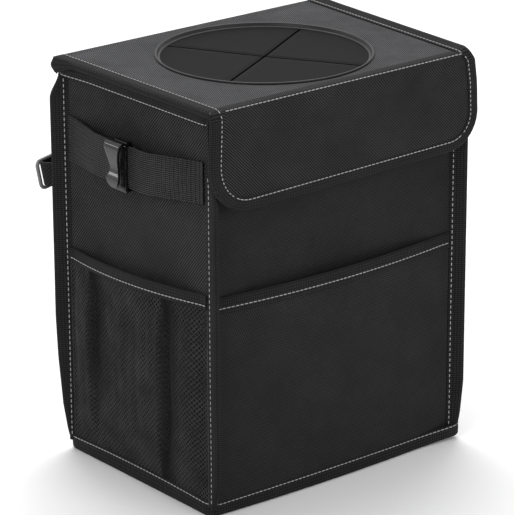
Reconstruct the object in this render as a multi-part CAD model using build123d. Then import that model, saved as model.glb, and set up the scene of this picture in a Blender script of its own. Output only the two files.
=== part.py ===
from build123d import *
import os
from math import cos, hypot, radians, sin, sqrt

# Car trash bin: a sewn fabric box, stiffened with boards and bound with tape at its seams.
# A hinged lid carries a round rubber mouth with a cross slit, and a flap that closes the front.
# Millimetres. The floor is Z = 0 under the middle of the base, the front faces -Y, +X is right.

# Box
bin_width = 193.0  # over the outer faces of the two side covers
bin_depth = 140.0  # over the outer faces of the front and back covers
bin_height = 260.0  # floor to the top face of the lid cover

# Cloth, boards and tape
cover_thickness = 1.0
board_thickness = 1.8
base_board_thickness = 2.0
liner_thickness = 0.7
liner_corner_radius = 6.0
tape_thickness = 0.8
webbing_thickness = 1.3

# Bound corner seams, which stand out from the corners as fins
fin_width = 10.0
fin_root = 1.2  # from the seam to where the tape starts
fin_end_width = 2.4
fin_top_taper = 18.0  # height over which a fin runs out at its top
front_fin_foot_taper = 24.0
rear_fin_foot_taper = 58.0
fin_bend_radius = 24.0
fin_edge_radius = 1.3
fin_end_gap = 1.2  # between a fin's ends and the tapes above and below it
front_left_fin_lean = 36.0  # degrees that this fin leans towards the front
front_left_fin_tuck = 22.0  # that this fin runs up behind the flap's rounded corner

# Tape round the rim and round the base
rim_tape_height = 7.5
rim_corner_radius = 3.0
base_tape_height = 8.0
base_tape_bulge = 1.6
base_tape_reach = 9.0  # inwards under the base
base_corner_radius = 5.5
tape_edge_radius = 0.5

# Lid
lid_board_thickness = 2.0
lid_overhang = 6.5  # past the outer faces of the side covers, before its tape
lid_rear_overhang = 3.8
lid_rest_gap = 0.5
lid_tape_leg = 8.0
hinge_strip_height = 26.0
hinge_strip_margin = 9.0  # from the sides of the bin
hinge_strip_inset = 0.5  # from the lid's rear edge to the top of the strip

# Flap at the front of the lid
flap_drop = 62.0
flap_standoff = 9.4  # from the front cover to the hanging flap
flap_corner_radius = 29.0
flap_board_thickness = 1.2
flap_tape_leg = 7.5
flap_fold_gap = 0.3
closure_width = 90.0
closure_height = 20.0
closure_thickness = 0.9
closure_corner_radius = 1.8
closure_above_flap_edge = 9.0

# Rubber mouth
mouth_margin = 10.55  # from the raised lip to the lid's rear edge and to the front of the flap
mouth_lip_width = 2.4
mouth_lip_height = 1.8
mouth_lip_round = 0.8
mouth_neck_thickness = 2.0
mouth_neck_inset = 1.4  # from the lip's outer edge to the neck
mouth_flange_reach = 3.4  # under the lid, past the neck
mouth_flange_thickness = 0.8
mouth_fit = 0.1  # between the neck and the hole in the lid
membrane_thickness = 1.4
membrane_recess = 0.3  # below the top of the lid
slit_width = 1.3
slit_angle = 30.0  # degrees from +X to the first slit
leaf_clearance = 0.35
leaf_corner_trim = 1.2

# Pockets
pocket_thickness = 0.9
pocket_tab = 5.0  # sewn flat at each side
pocket_side_gap = 3.0  # from the side of the wall to the pocket's end
front_pocket_top = 140.5
front_pocket_bow = 6.5
pocket_foot_bow = 1.0
pocket_hem_height = 10.0
mesh_thickness = 0.8
mesh_pocket_top = 140.0
mesh_hem_height = 9.0
mesh_hem_bow = 6.5
mesh_end_gap = 2.5
mesh_rear_fold = 44.0  # from the middle of the bin to each fold, along the side
mesh_front_fold = -27.0
mesh_fold_depth = 1.6  # how far a fold stays off the wall
mesh_bulges = (7.0, 10.5, 8.5)  # of the three lobes, from rear to front
mesh_foot_bulge = 3.0  # of the largest lobe, at the foot
mesh_low_share = 0.75  # of the bulge, low down
mesh_low_height = 34.0
mesh_full_height = 84.0

# Elastic bands on the sides, with a hook for the bag's handles on each
band_width = 27.0
band_below_rim = 32.0
band_thickness = 1.4
band_standoff = 9.0
band_end_gap = 3.5
band_tab = 5.0
band_rear_bend = 26.0  # along the side: where the band reaches its full standoff
band_front_bend = -20.0
band_bend_radius = 10.0
clip_place = 0.0  # along the side, towards the rear
clip_width = 12.0
clip_fit = 0.4
clip_bar = 1.6
clip_wall = 1.8
tongue_thickness = 1.6
tongue_gap = 4.4
tongue_pinch = 1.4  # gap at the narrowest place
tongue_pinch_depth = 19.0  # below the clip's top
tongue_flare = 4.0
tongue_length = 29.0
tongue_top_width = 15.0
tongue_waist = 8.6
tongue_end_diameter = 12.8
tongue_bend_radius = 3.2

# Strap on the back, with its slider
strap_width = 16.0
strap_below_rim = 73.0  # to its middle
strap_standoff = 19.0
strap_side_gap = 3.5  # from the side of the bin to where the strap leaves the back
strap_flare = 6.0  # outwards, from there to the bend at full standoff
strap_tab = 24.0
strap_bend_radius = 3.5
slider_length = 20.0
slider_left_reach = 4.5  # past the strap's bend, at rest
slider_rail = 2.2
slider_fit = 0.4
slider_bar_width = 3.6
slider_bar_thickness = 2.4
slider_middle_bar_width = 3.2
slider_edge_radius = 0.6

# Worked out from the above
half_width = bin_width / 2
half_depth = bin_depth / 2
seam_x = half_width - cover_thickness
seam_y = half_depth - cover_thickness
wall_thickness = cover_thickness + board_thickness + liner_thickness
lid_thickness = cover_thickness + lid_board_thickness + liner_thickness
lid_bottom = bin_height - lid_thickness
rim_top = lid_bottom - tape_thickness - lid_rest_gap
wall_top = rim_top - tape_thickness
base_cover_top = tape_thickness + cover_thickness
base_top = base_cover_top + base_board_thickness
lid_half_width = half_width + lid_overhang
lid_rear = half_depth + lid_rear_overhang
flap_inner = -(half_depth + flap_standoff)
flap_thickness = liner_thickness + flap_board_thickness + cover_thickness
flap_outer = flap_inner - flap_thickness
flap_low = bin_height - flap_drop
lid_front = flap_inner + tape_thickness + flap_fold_gap
fin_low = base_tape_height + fin_end_gap
fin_top = rim_top - rim_tape_height - fin_end_gap
front_left_fin_top = flap_low + front_left_fin_tuck
mouth_y = (flap_outer + lid_rear) / 2  # the mouth is in the middle of the lid
mouth_radius = (lid_rear - flap_outer) / 2 - mouth_margin
neck_outer = mouth_radius - mouth_neck_inset
neck_inner = neck_outer - mouth_neck_thickness
membrane_top = bin_height - membrane_recess
membrane_middle = membrane_top - membrane_thickness / 2
leaf_reach = (neck_inner - leaf_clearance) / sqrt(2)  # from the middle to a leaf's fold line
band_top = rim_top - band_below_rim
band_low = band_top - band_width
strap_height = rim_top - strap_below_rim
strap_foot_x = half_width - strap_side_gap
strap_bend_x = strap_foot_x + strap_flare


def block(x, y, z):
    """A box between the pairs x, y and z."""
    middle = [(low + high) / 2 for low, high in (x, y, z)]
    size = [high - low for low, high in (x, y, z)]
    return Pos(*middle) * Box(*size)


def rounded_slab(half_x, half_y, radius, low, high):
    """A plate with rounded corners in plan, from low to high."""
    return Pos(0, 0, low) * extrude(RectangleRounded(2 * half_x, 2 * half_y, radius), high - low)


def wall_outline(low, high):
    """The solid outline of the four covers, whose corners end one cover short at the seams."""
    outline = Rectangle(bin_width, bin_depth)
    outline = chamfer(outline.vertices(), cover_thickness)
    return Pos(0, 0, low) * extrude(outline, high - low)


# Corner seams: side in X, side in Y, direction of the fin, the fin's top and its taper at the foot
corner_seams = {
    "front_left": (-1, -1, 225 + front_left_fin_lean, front_left_fin_top, front_fin_foot_taper),
    "front_right": (1, -1, 315, fin_top, front_fin_foot_taper),
    "back_left": (-1, 1, 135, fin_top, rear_fin_foot_taper),
    "back_right": (1, 1, 45, fin_top, rear_fin_foot_taper),
}


def fin_plane(corner):
    """The middle plane of a corner's fin: X along the fin, Y up."""
    side_x, side_y, direction, top, foot_taper = corner_seams[corner]
    along = (cos(radians(direction)), sin(radians(direction)), 0)
    across = (along[1], -along[0], 0)
    return Plane(origin=(side_x * seam_x, side_y * seam_y, 0), x_dir=along, z_dir=across)


def fin_outline(corner, root, margin):
    """A fin seen from its side, drawn in by margin: full width in the middle, run out at its ends."""
    side_x, side_y, direction, top, foot_taper = corner_seams[corner]
    full = fin_width - fin_end_width
    width = fin_width - margin
    share = (width - fin_end_width) / full
    low = fin_low + margin * hypot(full, foot_taper) / full
    high = top - margin * hypot(full, fin_top_taper) / full
    points = [
        (root, low),
        (fin_end_width, low),
        (width, low + share * foot_taper),
        (width, high - share * fin_top_taper),
        (fin_end_width, high),
        (root, high),
    ]
    outline = make_face(Polyline(*points, close=True))
    bends = [v for v in outline.vertices() if abs(v.X - width) < 0.001]
    return fillet(bends, fin_bend_radius)


def flange(corner, outward):
    """The edge of one cover that turns out into the corner's fin, on the side of outward."""
    plane = fin_plane(corner)
    outline = fin_outline(corner, 0, tape_thickness)
    side = 1 if plane.z_dir.dot(Vector(*outward)) > 0 else -1
    return extrude(plane * outline, side * cover_thickness)


def corner_binding(corner):
    """Tape folded round the two flanges of a corner seam."""
    side_x, side_y = corner_seams[corner][:2]
    plane = fin_plane(corner)
    outline = fin_outline(corner, fin_root, 0)
    tape = extrude(plane * outline, cover_thickness + tape_thickness, both=True)
    upright = tape.edges().filter_by(Axis.Z)
    free_edges = [e for e in upright if plane.to_local_coords(e.center()).X > fin_width - 0.01]
    tape = fillet(free_edges, fin_edge_radius)
    for outward in ((side_x, 0, 0), (0, side_y, 0)):
        tape -= flange(corner, outward)
    return tape


def front_or_back_cover(side, left_corner, right_corner):
    """Outer cloth of the front or the back, with its two flanges."""
    faces = sorted((side * half_depth, side * seam_y))
    panel = block((-seam_x, seam_x), faces, (tape_thickness, wall_top))
    outward = (0, side, 0)
    return panel + flange(left_corner, outward) + flange(right_corner, outward)


def side_cover(side, front_corner, back_corner):
    """Outer cloth of the left or the right side, with its two flanges."""
    faces = sorted((side * half_width, side * seam_x))
    panel = block(faces, (-seam_y, seam_y), (tape_thickness, wall_top))
    outward = (side, 0, 0)
    return panel + flange(front_corner, outward) + flange(back_corner, outward)


def base_cover():
    """Cloth under the base, on the turned-in leg of the base tape."""
    return block((-seam_x, seam_x), (-seam_y, seam_y), (tape_thickness, base_cover_top))


def base_board():
    return block((-seam_x, seam_x), (-seam_y, seam_y), (base_cover_top, base_top))


def front_or_back_board(side):
    faces = sorted((side * seam_y, side * (seam_y - board_thickness)))
    return block((-seam_x, seam_x), faces, (base_top, wall_top))


def side_board(side):
    faces = sorted((side * seam_x, side * (seam_x - board_thickness)))
    reach = seam_y - board_thickness
    return block(faces, (-reach, reach), (base_top, wall_top))


def liner():
    """Waterproof lining: one welded open box inside the boards."""
    outer_x = seam_x - board_thickness
    outer_y = seam_y - board_thickness
    shell = rounded_slab(outer_x, outer_y, liner_corner_radius, base_top, wall_top)
    inside = rounded_slab(
        outer_x - liner_thickness,
        outer_y - liner_thickness,
        liner_corner_radius - liner_thickness,
        base_top + liner_thickness,
        wall_top,
    )
    return shell - inside


def rim_binding():
    """Tape folded over the top edge of the four walls, all round the mouth of the box."""
    low = rim_top - rim_tape_height
    reach_x = half_width + tape_thickness
    reach_y = half_depth + tape_thickness
    tape = rounded_slab(reach_x, reach_y, rim_corner_radius, low, rim_top)
    tape = fillet(tape.faces().sort_by(Axis.Z)[-1].edges(), tape_edge_radius)
    inner_x = half_width - wall_thickness
    inner_y = half_depth - wall_thickness
    inner_radius = liner_corner_radius - liner_thickness
    core = rounded_slab(inner_x, inner_y, inner_radius, low, wall_top)
    tape -= wall_outline(low, wall_top) - core
    return tape - rounded_slab(
        inner_x - tape_thickness,
        inner_y - tape_thickness,
        inner_radius - tape_thickness,
        low,
        rim_top,
    )


def base_binding():
    """Tape round the foot of the walls, turned in under the base."""
    reach_x = half_width + base_tape_bulge
    reach_y = half_depth + base_tape_bulge
    tape = rounded_slab(reach_x, reach_y, base_corner_radius, 0, base_tape_height)
    tape = fillet(tape.faces().sort_by(Axis.Z)[-1].edges(), tape_edge_radius)
    tape = fillet(tape.faces().sort_by(Axis.Z)[0].edges(), tape_edge_radius)
    tape -= wall_outline(tape_thickness, base_tape_height)
    return tape - block(
        (-half_width + base_tape_reach, half_width - base_tape_reach),
        (-half_depth + base_tape_reach, half_depth - base_tape_reach),
        (0, tape_thickness),
    )


def hinge_strip():
    """Cloth sewn down the top of the back, over the rim tape, that carries the lid's fold."""
    low = rim_top - hinge_strip_height
    step = rim_top - rim_tape_height
    near = half_depth
    over = half_depth + tape_thickness
    top_far = lid_rear - hinge_strip_inset
    section = Polyline(
        (near, low),
        (near + cover_thickness, low),
        (near + cover_thickness, step - tape_thickness),
        (over + tape_thickness, step),
        (top_far, rim_top),
        (top_far - tape_thickness, rim_top),
        (over, step),
        (near, step - tape_thickness),
        close=True,
    )
    length = 2 * (half_width - hinge_strip_margin)
    plane = Plane(origin=(-length / 2, 0, 0), x_dir=(0, 1, 0), z_dir=(1, 0, 0))
    return extrude(plane * make_face(section), length)


def lid_layer(low, high):
    """One flat layer of the lid, with the round hole for the mouth."""
    plate = block((-lid_half_width, lid_half_width), (lid_front, lid_rear), (low, high))
    hole = Cylinder(neck_outer + mouth_fit, high - low)
    return plate - Pos(0, mouth_y, (low + high) / 2) * hole


def lid_binding(side):
    """Tape folded over the left or right edge of the lid."""
    outer = lid_half_width + tape_thickness
    inner = lid_half_width - lid_tape_leg
    tape = block(
        sorted((side * inner, side * outer)),
        (lid_front, lid_rear),
        (lid_bottom - tape_thickness, bin_height + tape_thickness),
    )
    edges = [e for e in tape.edges().filter_by(Axis.Y) if abs(abs(e.center().X) - outer) < 0.001]
    tape = fillet(edges, fin_edge_radius)
    return tape - block(
        sorted((side * inner, side * lid_half_width)),
        (lid_front, lid_rear),
        (lid_bottom, bin_height),
    )


def flap_outline(margin):
    """The flap seen from the front, grown by margin at its sides and its rounded lower edge."""
    reach = lid_half_width + margin
    low = flap_low - margin
    outline = make_face(
        Polyline((-reach, bin_height), (-reach, low), (reach, low), (reach, bin_height), close=True)
    )
    lower = outline.vertices().sort_by(Axis.Y)[:2]
    return fillet(lower, flap_corner_radius + margin)


def flap_layer(margin, near, far):
    """A layer of the flap between two distances, both measured along Y."""
    plane = Plane(origin=(0, near, 0), x_dir=(1, 0, 0), z_dir=(0, -1, 0))
    return extrude(plane * flap_outline(margin), near - far)


def flap_binding():
    """Tape folded round the two sides and the rounded lower edge of the flap."""
    near = flap_inner + tape_thickness
    far = flap_outer - tape_thickness
    tape = flap_layer(tape_thickness, near, far)
    tape -= flap_layer(0, flap_inner, flap_outer)
    return tape - flap_layer(-flap_tape_leg, near, far)


def closure_strip(near):
    """A hook or loop strip: two face each other and meet when the soft flap is pressed to the front."""
    low = flap_low + closure_above_flap_edge
    strip = block(
        (-closure_width / 2, closure_width / 2),
        (near - closure_thickness, near),
        (low, low + closure_height),
    )
    return fillet(strip.edges().filter_by(Axis.Y), closure_corner_radius)


def mouth_ring():
    """Moulded rubber: raised lip, neck through the lid, flange below, and the fixed membrane."""
    top = bin_height + mouth_lip_height
    lip_inner = mouth_radius - mouth_lip_width
    flange_low = lid_bottom - mouth_flange_thickness
    section = Polyline(
        (neck_inner, flange_low),
        (neck_outer + mouth_flange_reach, flange_low),
        (neck_outer + mouth_flange_reach, lid_bottom),
        (neck_outer, lid_bottom),
        (neck_outer, bin_height),
        (mouth_radius, bin_height),
        (mouth_radius, top),
        (lip_inner, top),
        (neck_inner, membrane_top),
        close=True,
    )
    section = make_face(section)
    crown = [v for v in section.vertices() if abs(v.Y - top) < 0.001]
    section = fillet(crown, mouth_lip_round)
    ring = revolve(Plane.XZ * section, Axis.Z)
    opening = 2 * (leaf_reach + membrane_thickness / 2 + leaf_clearance)
    disc = Circle(neck_inner + mouth_neck_thickness / 2)
    disc -= Rot(0, 0, slit_angle + 45) * Rectangle(opening, opening)
    fixed = Pos(0, 0, membrane_top - membrane_thickness) * extrude(disc, membrane_thickness)
    return Pos(0, mouth_y, 0) * (ring + fixed)


def leaf(number):
    """One of the four leaves between the slits, with a rounded edge along its fold line."""
    tip = slit_width / sqrt(2)
    half_fold = leaf_reach - tip - leaf_corner_trim
    shoulder = leaf_reach - leaf_corner_trim
    round_radius = membrane_thickness / 2
    outline = make_face(
        Polyline(
            (tip, 0),
            (shoulder, half_fold),
            (leaf_reach, half_fold),
            (leaf_reach, -half_fold),
            (shoulder, -half_fold),
            close=True,
        )
    )
    plate = extrude(Pos(0, 0, -round_radius) * outline, membrane_thickness)
    edge = Pos(leaf_reach, 0, 0) * Rot(90, 0, 0) * Cylinder(round_radius, 2 * half_fold)
    turn = slit_angle + 45 + 90 * number
    return Pos(0, mouth_y, membrane_middle) * Rot(0, 0, turn) * (plate + edge)


def bow_offset(along, half_span, bow):
    """How far a sheet that bows out by bow in its middle stands off at a place along it."""
    radius = (half_span**2 + bow**2) / (2 * bow)
    return sqrt(radius**2 - along**2) - (radius - bow)


def strip_section(stations, bulges, tab, inner, outer):
    """A sheet's section: X along the wall, Y away from it. Flat tabs, then one arc for each bulge.

    stations are (along, standoff) pairs and bulges the standoffs half way between them.
    inner and outer say between which two shifts of that line the section lies.
    """
    lines = []
    ends = []
    for shift in (inner, outer):
        places = [(along, standoff + shift) for along, standoff in stations]
        first = (places[0][0] - tab, places[0][1])
        last = (places[-1][0] + tab, places[-1][1])
        lines.append(Line(first, places[0]))
        for start, end, bulge in zip(places, places[1:], bulges):
            lines.append(ThreePointArc(start, ((start[0] + end[0]) / 2, bulge + shift), end))
        lines.append(Line(places[-1], last))
        ends.append((first, last))
    lines.append(Line(ends[0][0], ends[1][0]))
    lines.append(Line(ends[0][1], ends[1][1]))
    return make_face(lines)


# Planes whose X runs along a wall and whose Y points away from it
front_wall = Plane(origin=(0, -half_depth, 0), x_dir=(-1, 0, 0), z_dir=(0, 0, 1))
left_wall = Plane(origin=(-half_width, 0, 0), x_dir=(0, 1, 0), z_dir=(0, 0, 1))
back_wall = Plane(origin=(0, half_depth, 0), x_dir=(1, 0, 0), z_dir=(0, 0, 1))


def raised(plane, height):
    return plane.offset(height)


def front_pocket_section(bow, inner, outer):
    half_span = half_width - pocket_side_gap - pocket_tab
    return strip_section([(-half_span, 0), (half_span, 0)], [bow], pocket_tab, inner, outer)


def front_pocket():
    """Cloth pocket over the lower front, flat at its foot and bowed out at its mouth."""
    hem_low = front_pocket_top - pocket_hem_height
    foot = front_pocket_section(pocket_foot_bow, 0, pocket_thickness)
    mouth = front_pocket_section(front_pocket_bow, 0, pocket_thickness)
    levels = [raised(front_wall, base_tape_height) * foot, raised(front_wall, hem_low) * mouth]
    sheet = loft(levels, ruled=True)
    edge = extrude(raised(front_wall, hem_low) * mouth, pocket_hem_height - tape_thickness)
    return sheet + edge


def front_pocket_hem():
    """Tape folded over the mouth of the front pocket."""
    hem_low = front_pocket_top - pocket_hem_height
    leg = front_pocket_section(front_pocket_bow, pocket_thickness, pocket_thickness + tape_thickness)
    cap = front_pocket_section(front_pocket_bow, 0, pocket_thickness + tape_thickness)
    tape = extrude(raised(front_wall, hem_low) * leg, pocket_hem_height)
    return tape + extrude(raised(front_wall, front_pocket_top - tape_thickness) * cap, tape_thickness)


mesh_half_span = half_depth - mesh_end_gap - pocket_tab
mesh_places = (mesh_half_span, mesh_rear_fold, mesh_front_fold, -mesh_half_span)


def mesh_section(share, inner, outer):
    """The gathered mesh: three lobes with two deep folds. A share of 0 is the tight line of the hem."""
    places = sorted(mesh_places)
    middles = [(a + b) / 2 for a, b in zip(places, places[1:])]
    if share == 0:
        stations = [(p, bow_offset(p, mesh_half_span, mesh_hem_bow)) for p in places]
        bulges = [bow_offset(m, mesh_half_span, mesh_hem_bow) for m in middles]
    else:
        folds = (0, mesh_fold_depth, mesh_fold_depth, 0)
        stations = list(zip(places, folds))
        bulges = [share * bulge for bulge in reversed(mesh_bulges)]
    return strip_section(stations, bulges, pocket_tab, inner, outer)


def mesh_pocket():
    """Knitted mesh on the left side, gathered below its hem."""
    hem_low = mesh_pocket_top - mesh_hem_height
    foot_share = mesh_foot_bulge / max(mesh_bulges)
    levels = [
        (base_tape_height, foot_share),
        (mesh_low_height, mesh_low_share),
        (mesh_full_height, 1),
        (hem_low, 0),
    ]
    sections = [raised(left_wall, z) * mesh_section(share, 0, mesh_thickness) for z, share in levels]
    hem_line = mesh_section(0, 0, mesh_thickness)
    edge = extrude(raised(left_wall, hem_low) * hem_line, mesh_hem_height - tape_thickness)
    return loft(sections, ruled=True) + edge


def mesh_hem():
    """Tape folded over the mouth of the mesh pocket."""
    hem_low = mesh_pocket_top - mesh_hem_height
    leg = mesh_section(0, mesh_thickness, mesh_thickness + tape_thickness)
    cap = mesh_section(0, 0, mesh_thickness + tape_thickness)
    tape = extrude(raised(left_wall, hem_low) * leg, mesh_hem_height)
    return tape + extrude(raised(left_wall, mesh_pocket_top - tape_thickness) * cap, tape_thickness)


def elastic_band():
    """Wide elastic on the left side, sewn at its ends and standing off the wall between them."""
    end = half_depth - band_end_gap
    far = band_standoff + band_thickness
    points = [
        (-end, 0),
        (-end + band_tab, 0),
        (band_front_bend, band_standoff),
        (band_rear_bend, band_standoff),
        (end - band_tab, 0),
        (end, 0),
        (end, band_thickness),
        (end - band_tab, band_thickness),
        (band_rear_bend, far),
        (band_front_bend, far),
        (-end + band_tab, band_thickness),
        (-end, band_thickness),
    ]
    section = make_face(Polyline(*points, close=True))
    bends = [v for v in section.vertices() if v.Y > band_standoff - 0.01]
    section = fillet(bends, band_bend_radius)
    return extrude(raised(left_wall, band_low) * section, band_width)


def bag_clip():
    """Moulded hook on the left band: a closed loop round the elastic, and a sprung tongue outside."""
    loop_inner = band_standoff - clip_fit - clip_bar
    plate_near = band_standoff + band_thickness + clip_fit
    plate_far = plate_near + clip_wall
    top = band_top + clip_fit + clip_wall
    low = band_low - clip_fit - clip_wall
    turned = Plane(origin=(-half_width, clip_place, 0), x_dir=(-1, 0, 0), z_dir=(0, 1, 0))

    loop = make_face(
        Polyline((loop_inner, low), (plate_far, low), (plate_far, top), (loop_inner, top), close=True)
    )
    loop = fillet(loop.vertices(), clip_wall / 2)
    window = Polyline(
        (band_standoff - clip_fit, band_low - clip_fit),
        (plate_near, band_low - clip_fit),
        (plate_near, band_top + clip_fit),
        (band_standoff - clip_fit, band_top + clip_fit),
        close=True,
    )
    loop -= make_face(window)
    loop = extrude(turned * loop, clip_width / 2, both=True)

    pinch = top - tongue_pinch_depth
    foot = top - tongue_length
    crest = plate_far + tongue_gap + tongue_thickness
    tongue = make_face(
        Polyline(
            (plate_near, top),
            (crest, top),
            (plate_far + tongue_pinch + tongue_thickness, pinch),
            (plate_far + tongue_flare + tongue_thickness, foot),
            (plate_far + tongue_flare, foot),
            (plate_far + tongue_pinch, pinch),
            (crest - tongue_thickness, top - tongue_thickness),
            (plate_near, top - tongue_thickness),
            close=True,
        )
    )
    corner = tongue.vertices().group_by(Axis.X)[-1]
    tongue = fillet(corner, tongue_bend_radius)
    knee = [v for v in tongue.vertices() if abs(v.Y - pinch) < 0.001]
    tongue = fillet(knee, tongue_gap)
    tongue = extrude(turned * tongue, tongue_top_width / 2, both=True)

    outline = make_face(
        Polyline(
            (-tongue_top_width / 2, top),
            (-tongue_waist / 2, pinch),
            (-tongue_waist / 2, foot + tongue_end_diameter / 2),
            (tongue_waist / 2, foot + tongue_end_diameter / 2),
            (tongue_waist / 2, pinch),
            (tongue_top_width / 2, top),
            close=True,
        )
    )
    outline += Pos(0, foot + tongue_end_diameter / 2) * Circle(tongue_end_diameter / 2)
    facing = Plane(origin=(-half_width, clip_place, 0), x_dir=(0, -1, 0), z_dir=(-1, 0, 0))
    tongue &= extrude(facing * outline, crest)
    return loop + tongue


def back_strap():
    """Webbing across the back, sewn down at both ends and standing off the back between them."""
    lead = strap_foot_x - strap_tab
    t = webbing_thickness
    slope = strap_flare / strap_standoff
    foot_in = strap_foot_x + slope * t - t * hypot(1, slope)
    bend_in = strap_bend_x - slope * t - t * hypot(1, slope)
    outer = [
        (-lead, 0),
        (-strap_foot_x, 0),
        (-strap_bend_x, strap_standoff),
        (strap_bend_x, strap_standoff),
        (strap_foot_x, 0),
        (lead, 0),
    ]
    inner = [
        (lead, t),
        (foot_in, t),
        (bend_in, strap_standoff - t),
        (-bend_in, strap_standoff - t),
        (-foot_in, t),
        (-lead, t),
    ]
    section = make_face(Polyline(*outer, *inner, close=True))
    for levels, radius in (
        ((0, strap_standoff), strap_bend_radius),
        ((t, strap_standoff - t), strap_bend_radius - t),
    ):
        bends = [v for v in section.vertices() if abs(v.X) > lead + 0.001]
        bends = [v for v in bends if min(abs(v.Y - level) for level in levels) < 0.001]
        section = fillet(bends, radius)
    return extrude(raised(back_wall, strap_height - strap_width / 2) * section, strap_width)


def strap_slider():
    """Moulded slider: outer bars outside the strap, its middle bar inside it, rails above and below."""
    left = -strap_bend_x - slider_left_reach
    right = left + slider_length
    bar_near = strap_standoff + slider_fit
    bar_far = bar_near + slider_bar_thickness
    middle_far = strap_standoff - webbing_thickness - slider_fit
    middle_near = middle_far - slider_bar_thickness
    middle_x = (left + right) / 2
    half_middle = slider_middle_bar_width / 2
    rail_low = strap_width / 2 + slider_fit
    rail_high = rail_low + slider_rail

    rail = make_face(
        Polyline(
            (left, bar_far),
            (right, bar_far),
            (right, bar_near),
            (right - slider_bar_width, bar_near),
            (middle_x + half_middle, middle_near),
            (middle_x - half_middle, middle_near),
            (left + slider_bar_width, bar_near),
            (left, bar_near),
            close=True,
        )
    )
    middle = raised(back_wall, strap_height)
    slider = extrude(raised(back_wall, strap_height + rail_low) * rail, slider_rail)
    slider += extrude(raised(back_wall, strap_height - rail_high) * rail, slider_rail)
    bars = [
        (left, left + slider_bar_width, bar_near, bar_far),
        (right - slider_bar_width, right, bar_near, bar_far),
        (middle_x - half_middle, middle_x + half_middle, middle_near, middle_far),
    ]
    for start, end, near, far in bars:
        bar = make_face(Polyline((start, near), (end, near), (end, far), (start, far), close=True))
        slider += extrude(middle * bar, rail_high, both=True)
    upright = slider.edges().filter_by(Axis.Y).sort_by(Axis.X)
    ends = upright.group_by(Axis.X)[0] + upright.group_by(Axis.X)[-1]
    return fillet(ends, slider_edge_radius)


nodes = {
    "front_cover": front_or_back_cover(-1, "front_left", "front_right"),
    "back_cover": front_or_back_cover(1, "back_left", "back_right"),
    "left_cover": side_cover(-1, "front_left", "back_left"),
    "right_cover": side_cover(1, "front_right", "back_right"),
    "base_cover": base_cover(),
    "front_board": front_or_back_board(-1),
    "back_board": front_or_back_board(1),
    "left_board": side_board(-1),
    "right_board": side_board(1),
    "base_board": base_board(),
    "liner": liner(),
    "rim_binding": rim_binding(),
    "base_binding": base_binding(),
    "hinge_strip": hinge_strip(),
    "loop_strip": closure_strip(-half_depth),
    "lid_cover": lid_layer(bin_height - cover_thickness, bin_height),
    "lid_board": lid_layer(lid_bottom + liner_thickness, bin_height - cover_thickness),
    "lid_lining": lid_layer(lid_bottom, lid_bottom + liner_thickness),
    "left_lid_binding": lid_binding(-1),
    "right_lid_binding": lid_binding(1),
    "mouth_ring": mouth_ring(),
    "flap_lining": flap_layer(0, flap_inner, flap_inner - liner_thickness),
    "flap_board": flap_layer(0, flap_inner - liner_thickness, flap_outer + cover_thickness),
    "flap_cover": flap_layer(0, flap_outer + cover_thickness, flap_outer),
    "flap_binding": flap_binding(),
    "hook_strip": closure_strip(flap_inner + closure_thickness),
    "front_pocket": front_pocket(),
    "front_pocket_hem": front_pocket_hem(),
    "back_strap": back_strap(),
    "strap_slider": strap_slider(),
}
for corner in corner_seams:
    nodes[corner + "_binding"] = corner_binding(corner)
for number in range(4):
    nodes[f"mouth_leaf_{number + 1}"] = leaf(number)
left_side_pieces = {
    "mesh_pocket": mesh_pocket(),
    "mesh_pocket_hem": mesh_hem(),
    "elastic_band": elastic_band(),
    "bag_clip": bag_clip(),
}
for name, piece in left_side_pieces.items():
    nodes["left_" + name] = piece
    nodes["right_" + name] = mirror(piece, about=Plane.YZ)

os.makedirs("parts", exist_ok=True)
for name, piece in nodes.items():
    piece.label = name
    export_step(piece, f"parts/{name}.step")
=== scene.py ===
# %% [markdown]
# # A car trash bin in Blender
#
# The object is a sewn fabric box, stiffened with boards, with bound corner seams, a hinged lid with a
# round rubber mouth, a flap over the front, pockets, elastic bands and a strap. The solids come from the
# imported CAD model. This lesson dresses them: every soft piece is made again here as cloth, tape, net or
# rubber.

from math import acos, cos, hypot, pi, radians, sin, sqrt

import bmesh
import bpy
from mathutils import Matrix, Vector, noise


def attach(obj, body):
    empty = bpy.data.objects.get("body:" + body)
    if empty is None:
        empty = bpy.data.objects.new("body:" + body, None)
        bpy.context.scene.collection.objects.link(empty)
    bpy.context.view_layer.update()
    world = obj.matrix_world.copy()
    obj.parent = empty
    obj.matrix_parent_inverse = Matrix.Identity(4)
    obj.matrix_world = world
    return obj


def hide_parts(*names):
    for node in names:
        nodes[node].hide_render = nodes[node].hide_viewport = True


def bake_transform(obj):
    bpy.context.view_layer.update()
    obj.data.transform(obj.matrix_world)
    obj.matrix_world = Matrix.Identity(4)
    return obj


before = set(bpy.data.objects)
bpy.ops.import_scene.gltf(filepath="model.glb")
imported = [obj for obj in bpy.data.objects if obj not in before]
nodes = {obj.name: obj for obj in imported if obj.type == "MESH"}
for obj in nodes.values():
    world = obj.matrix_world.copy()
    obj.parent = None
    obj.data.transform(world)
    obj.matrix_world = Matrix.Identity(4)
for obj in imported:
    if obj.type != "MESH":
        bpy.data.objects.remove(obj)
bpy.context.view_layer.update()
scene = bpy.context.scene
scene.view_settings.view_transform = "Standard"

# %% [markdown]
# The dressing has to sit where the solids are, so the main sizes of the part are written down once, in
# millimetres. The floor is Z = 0, the front faces -Y and +X is right.

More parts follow.
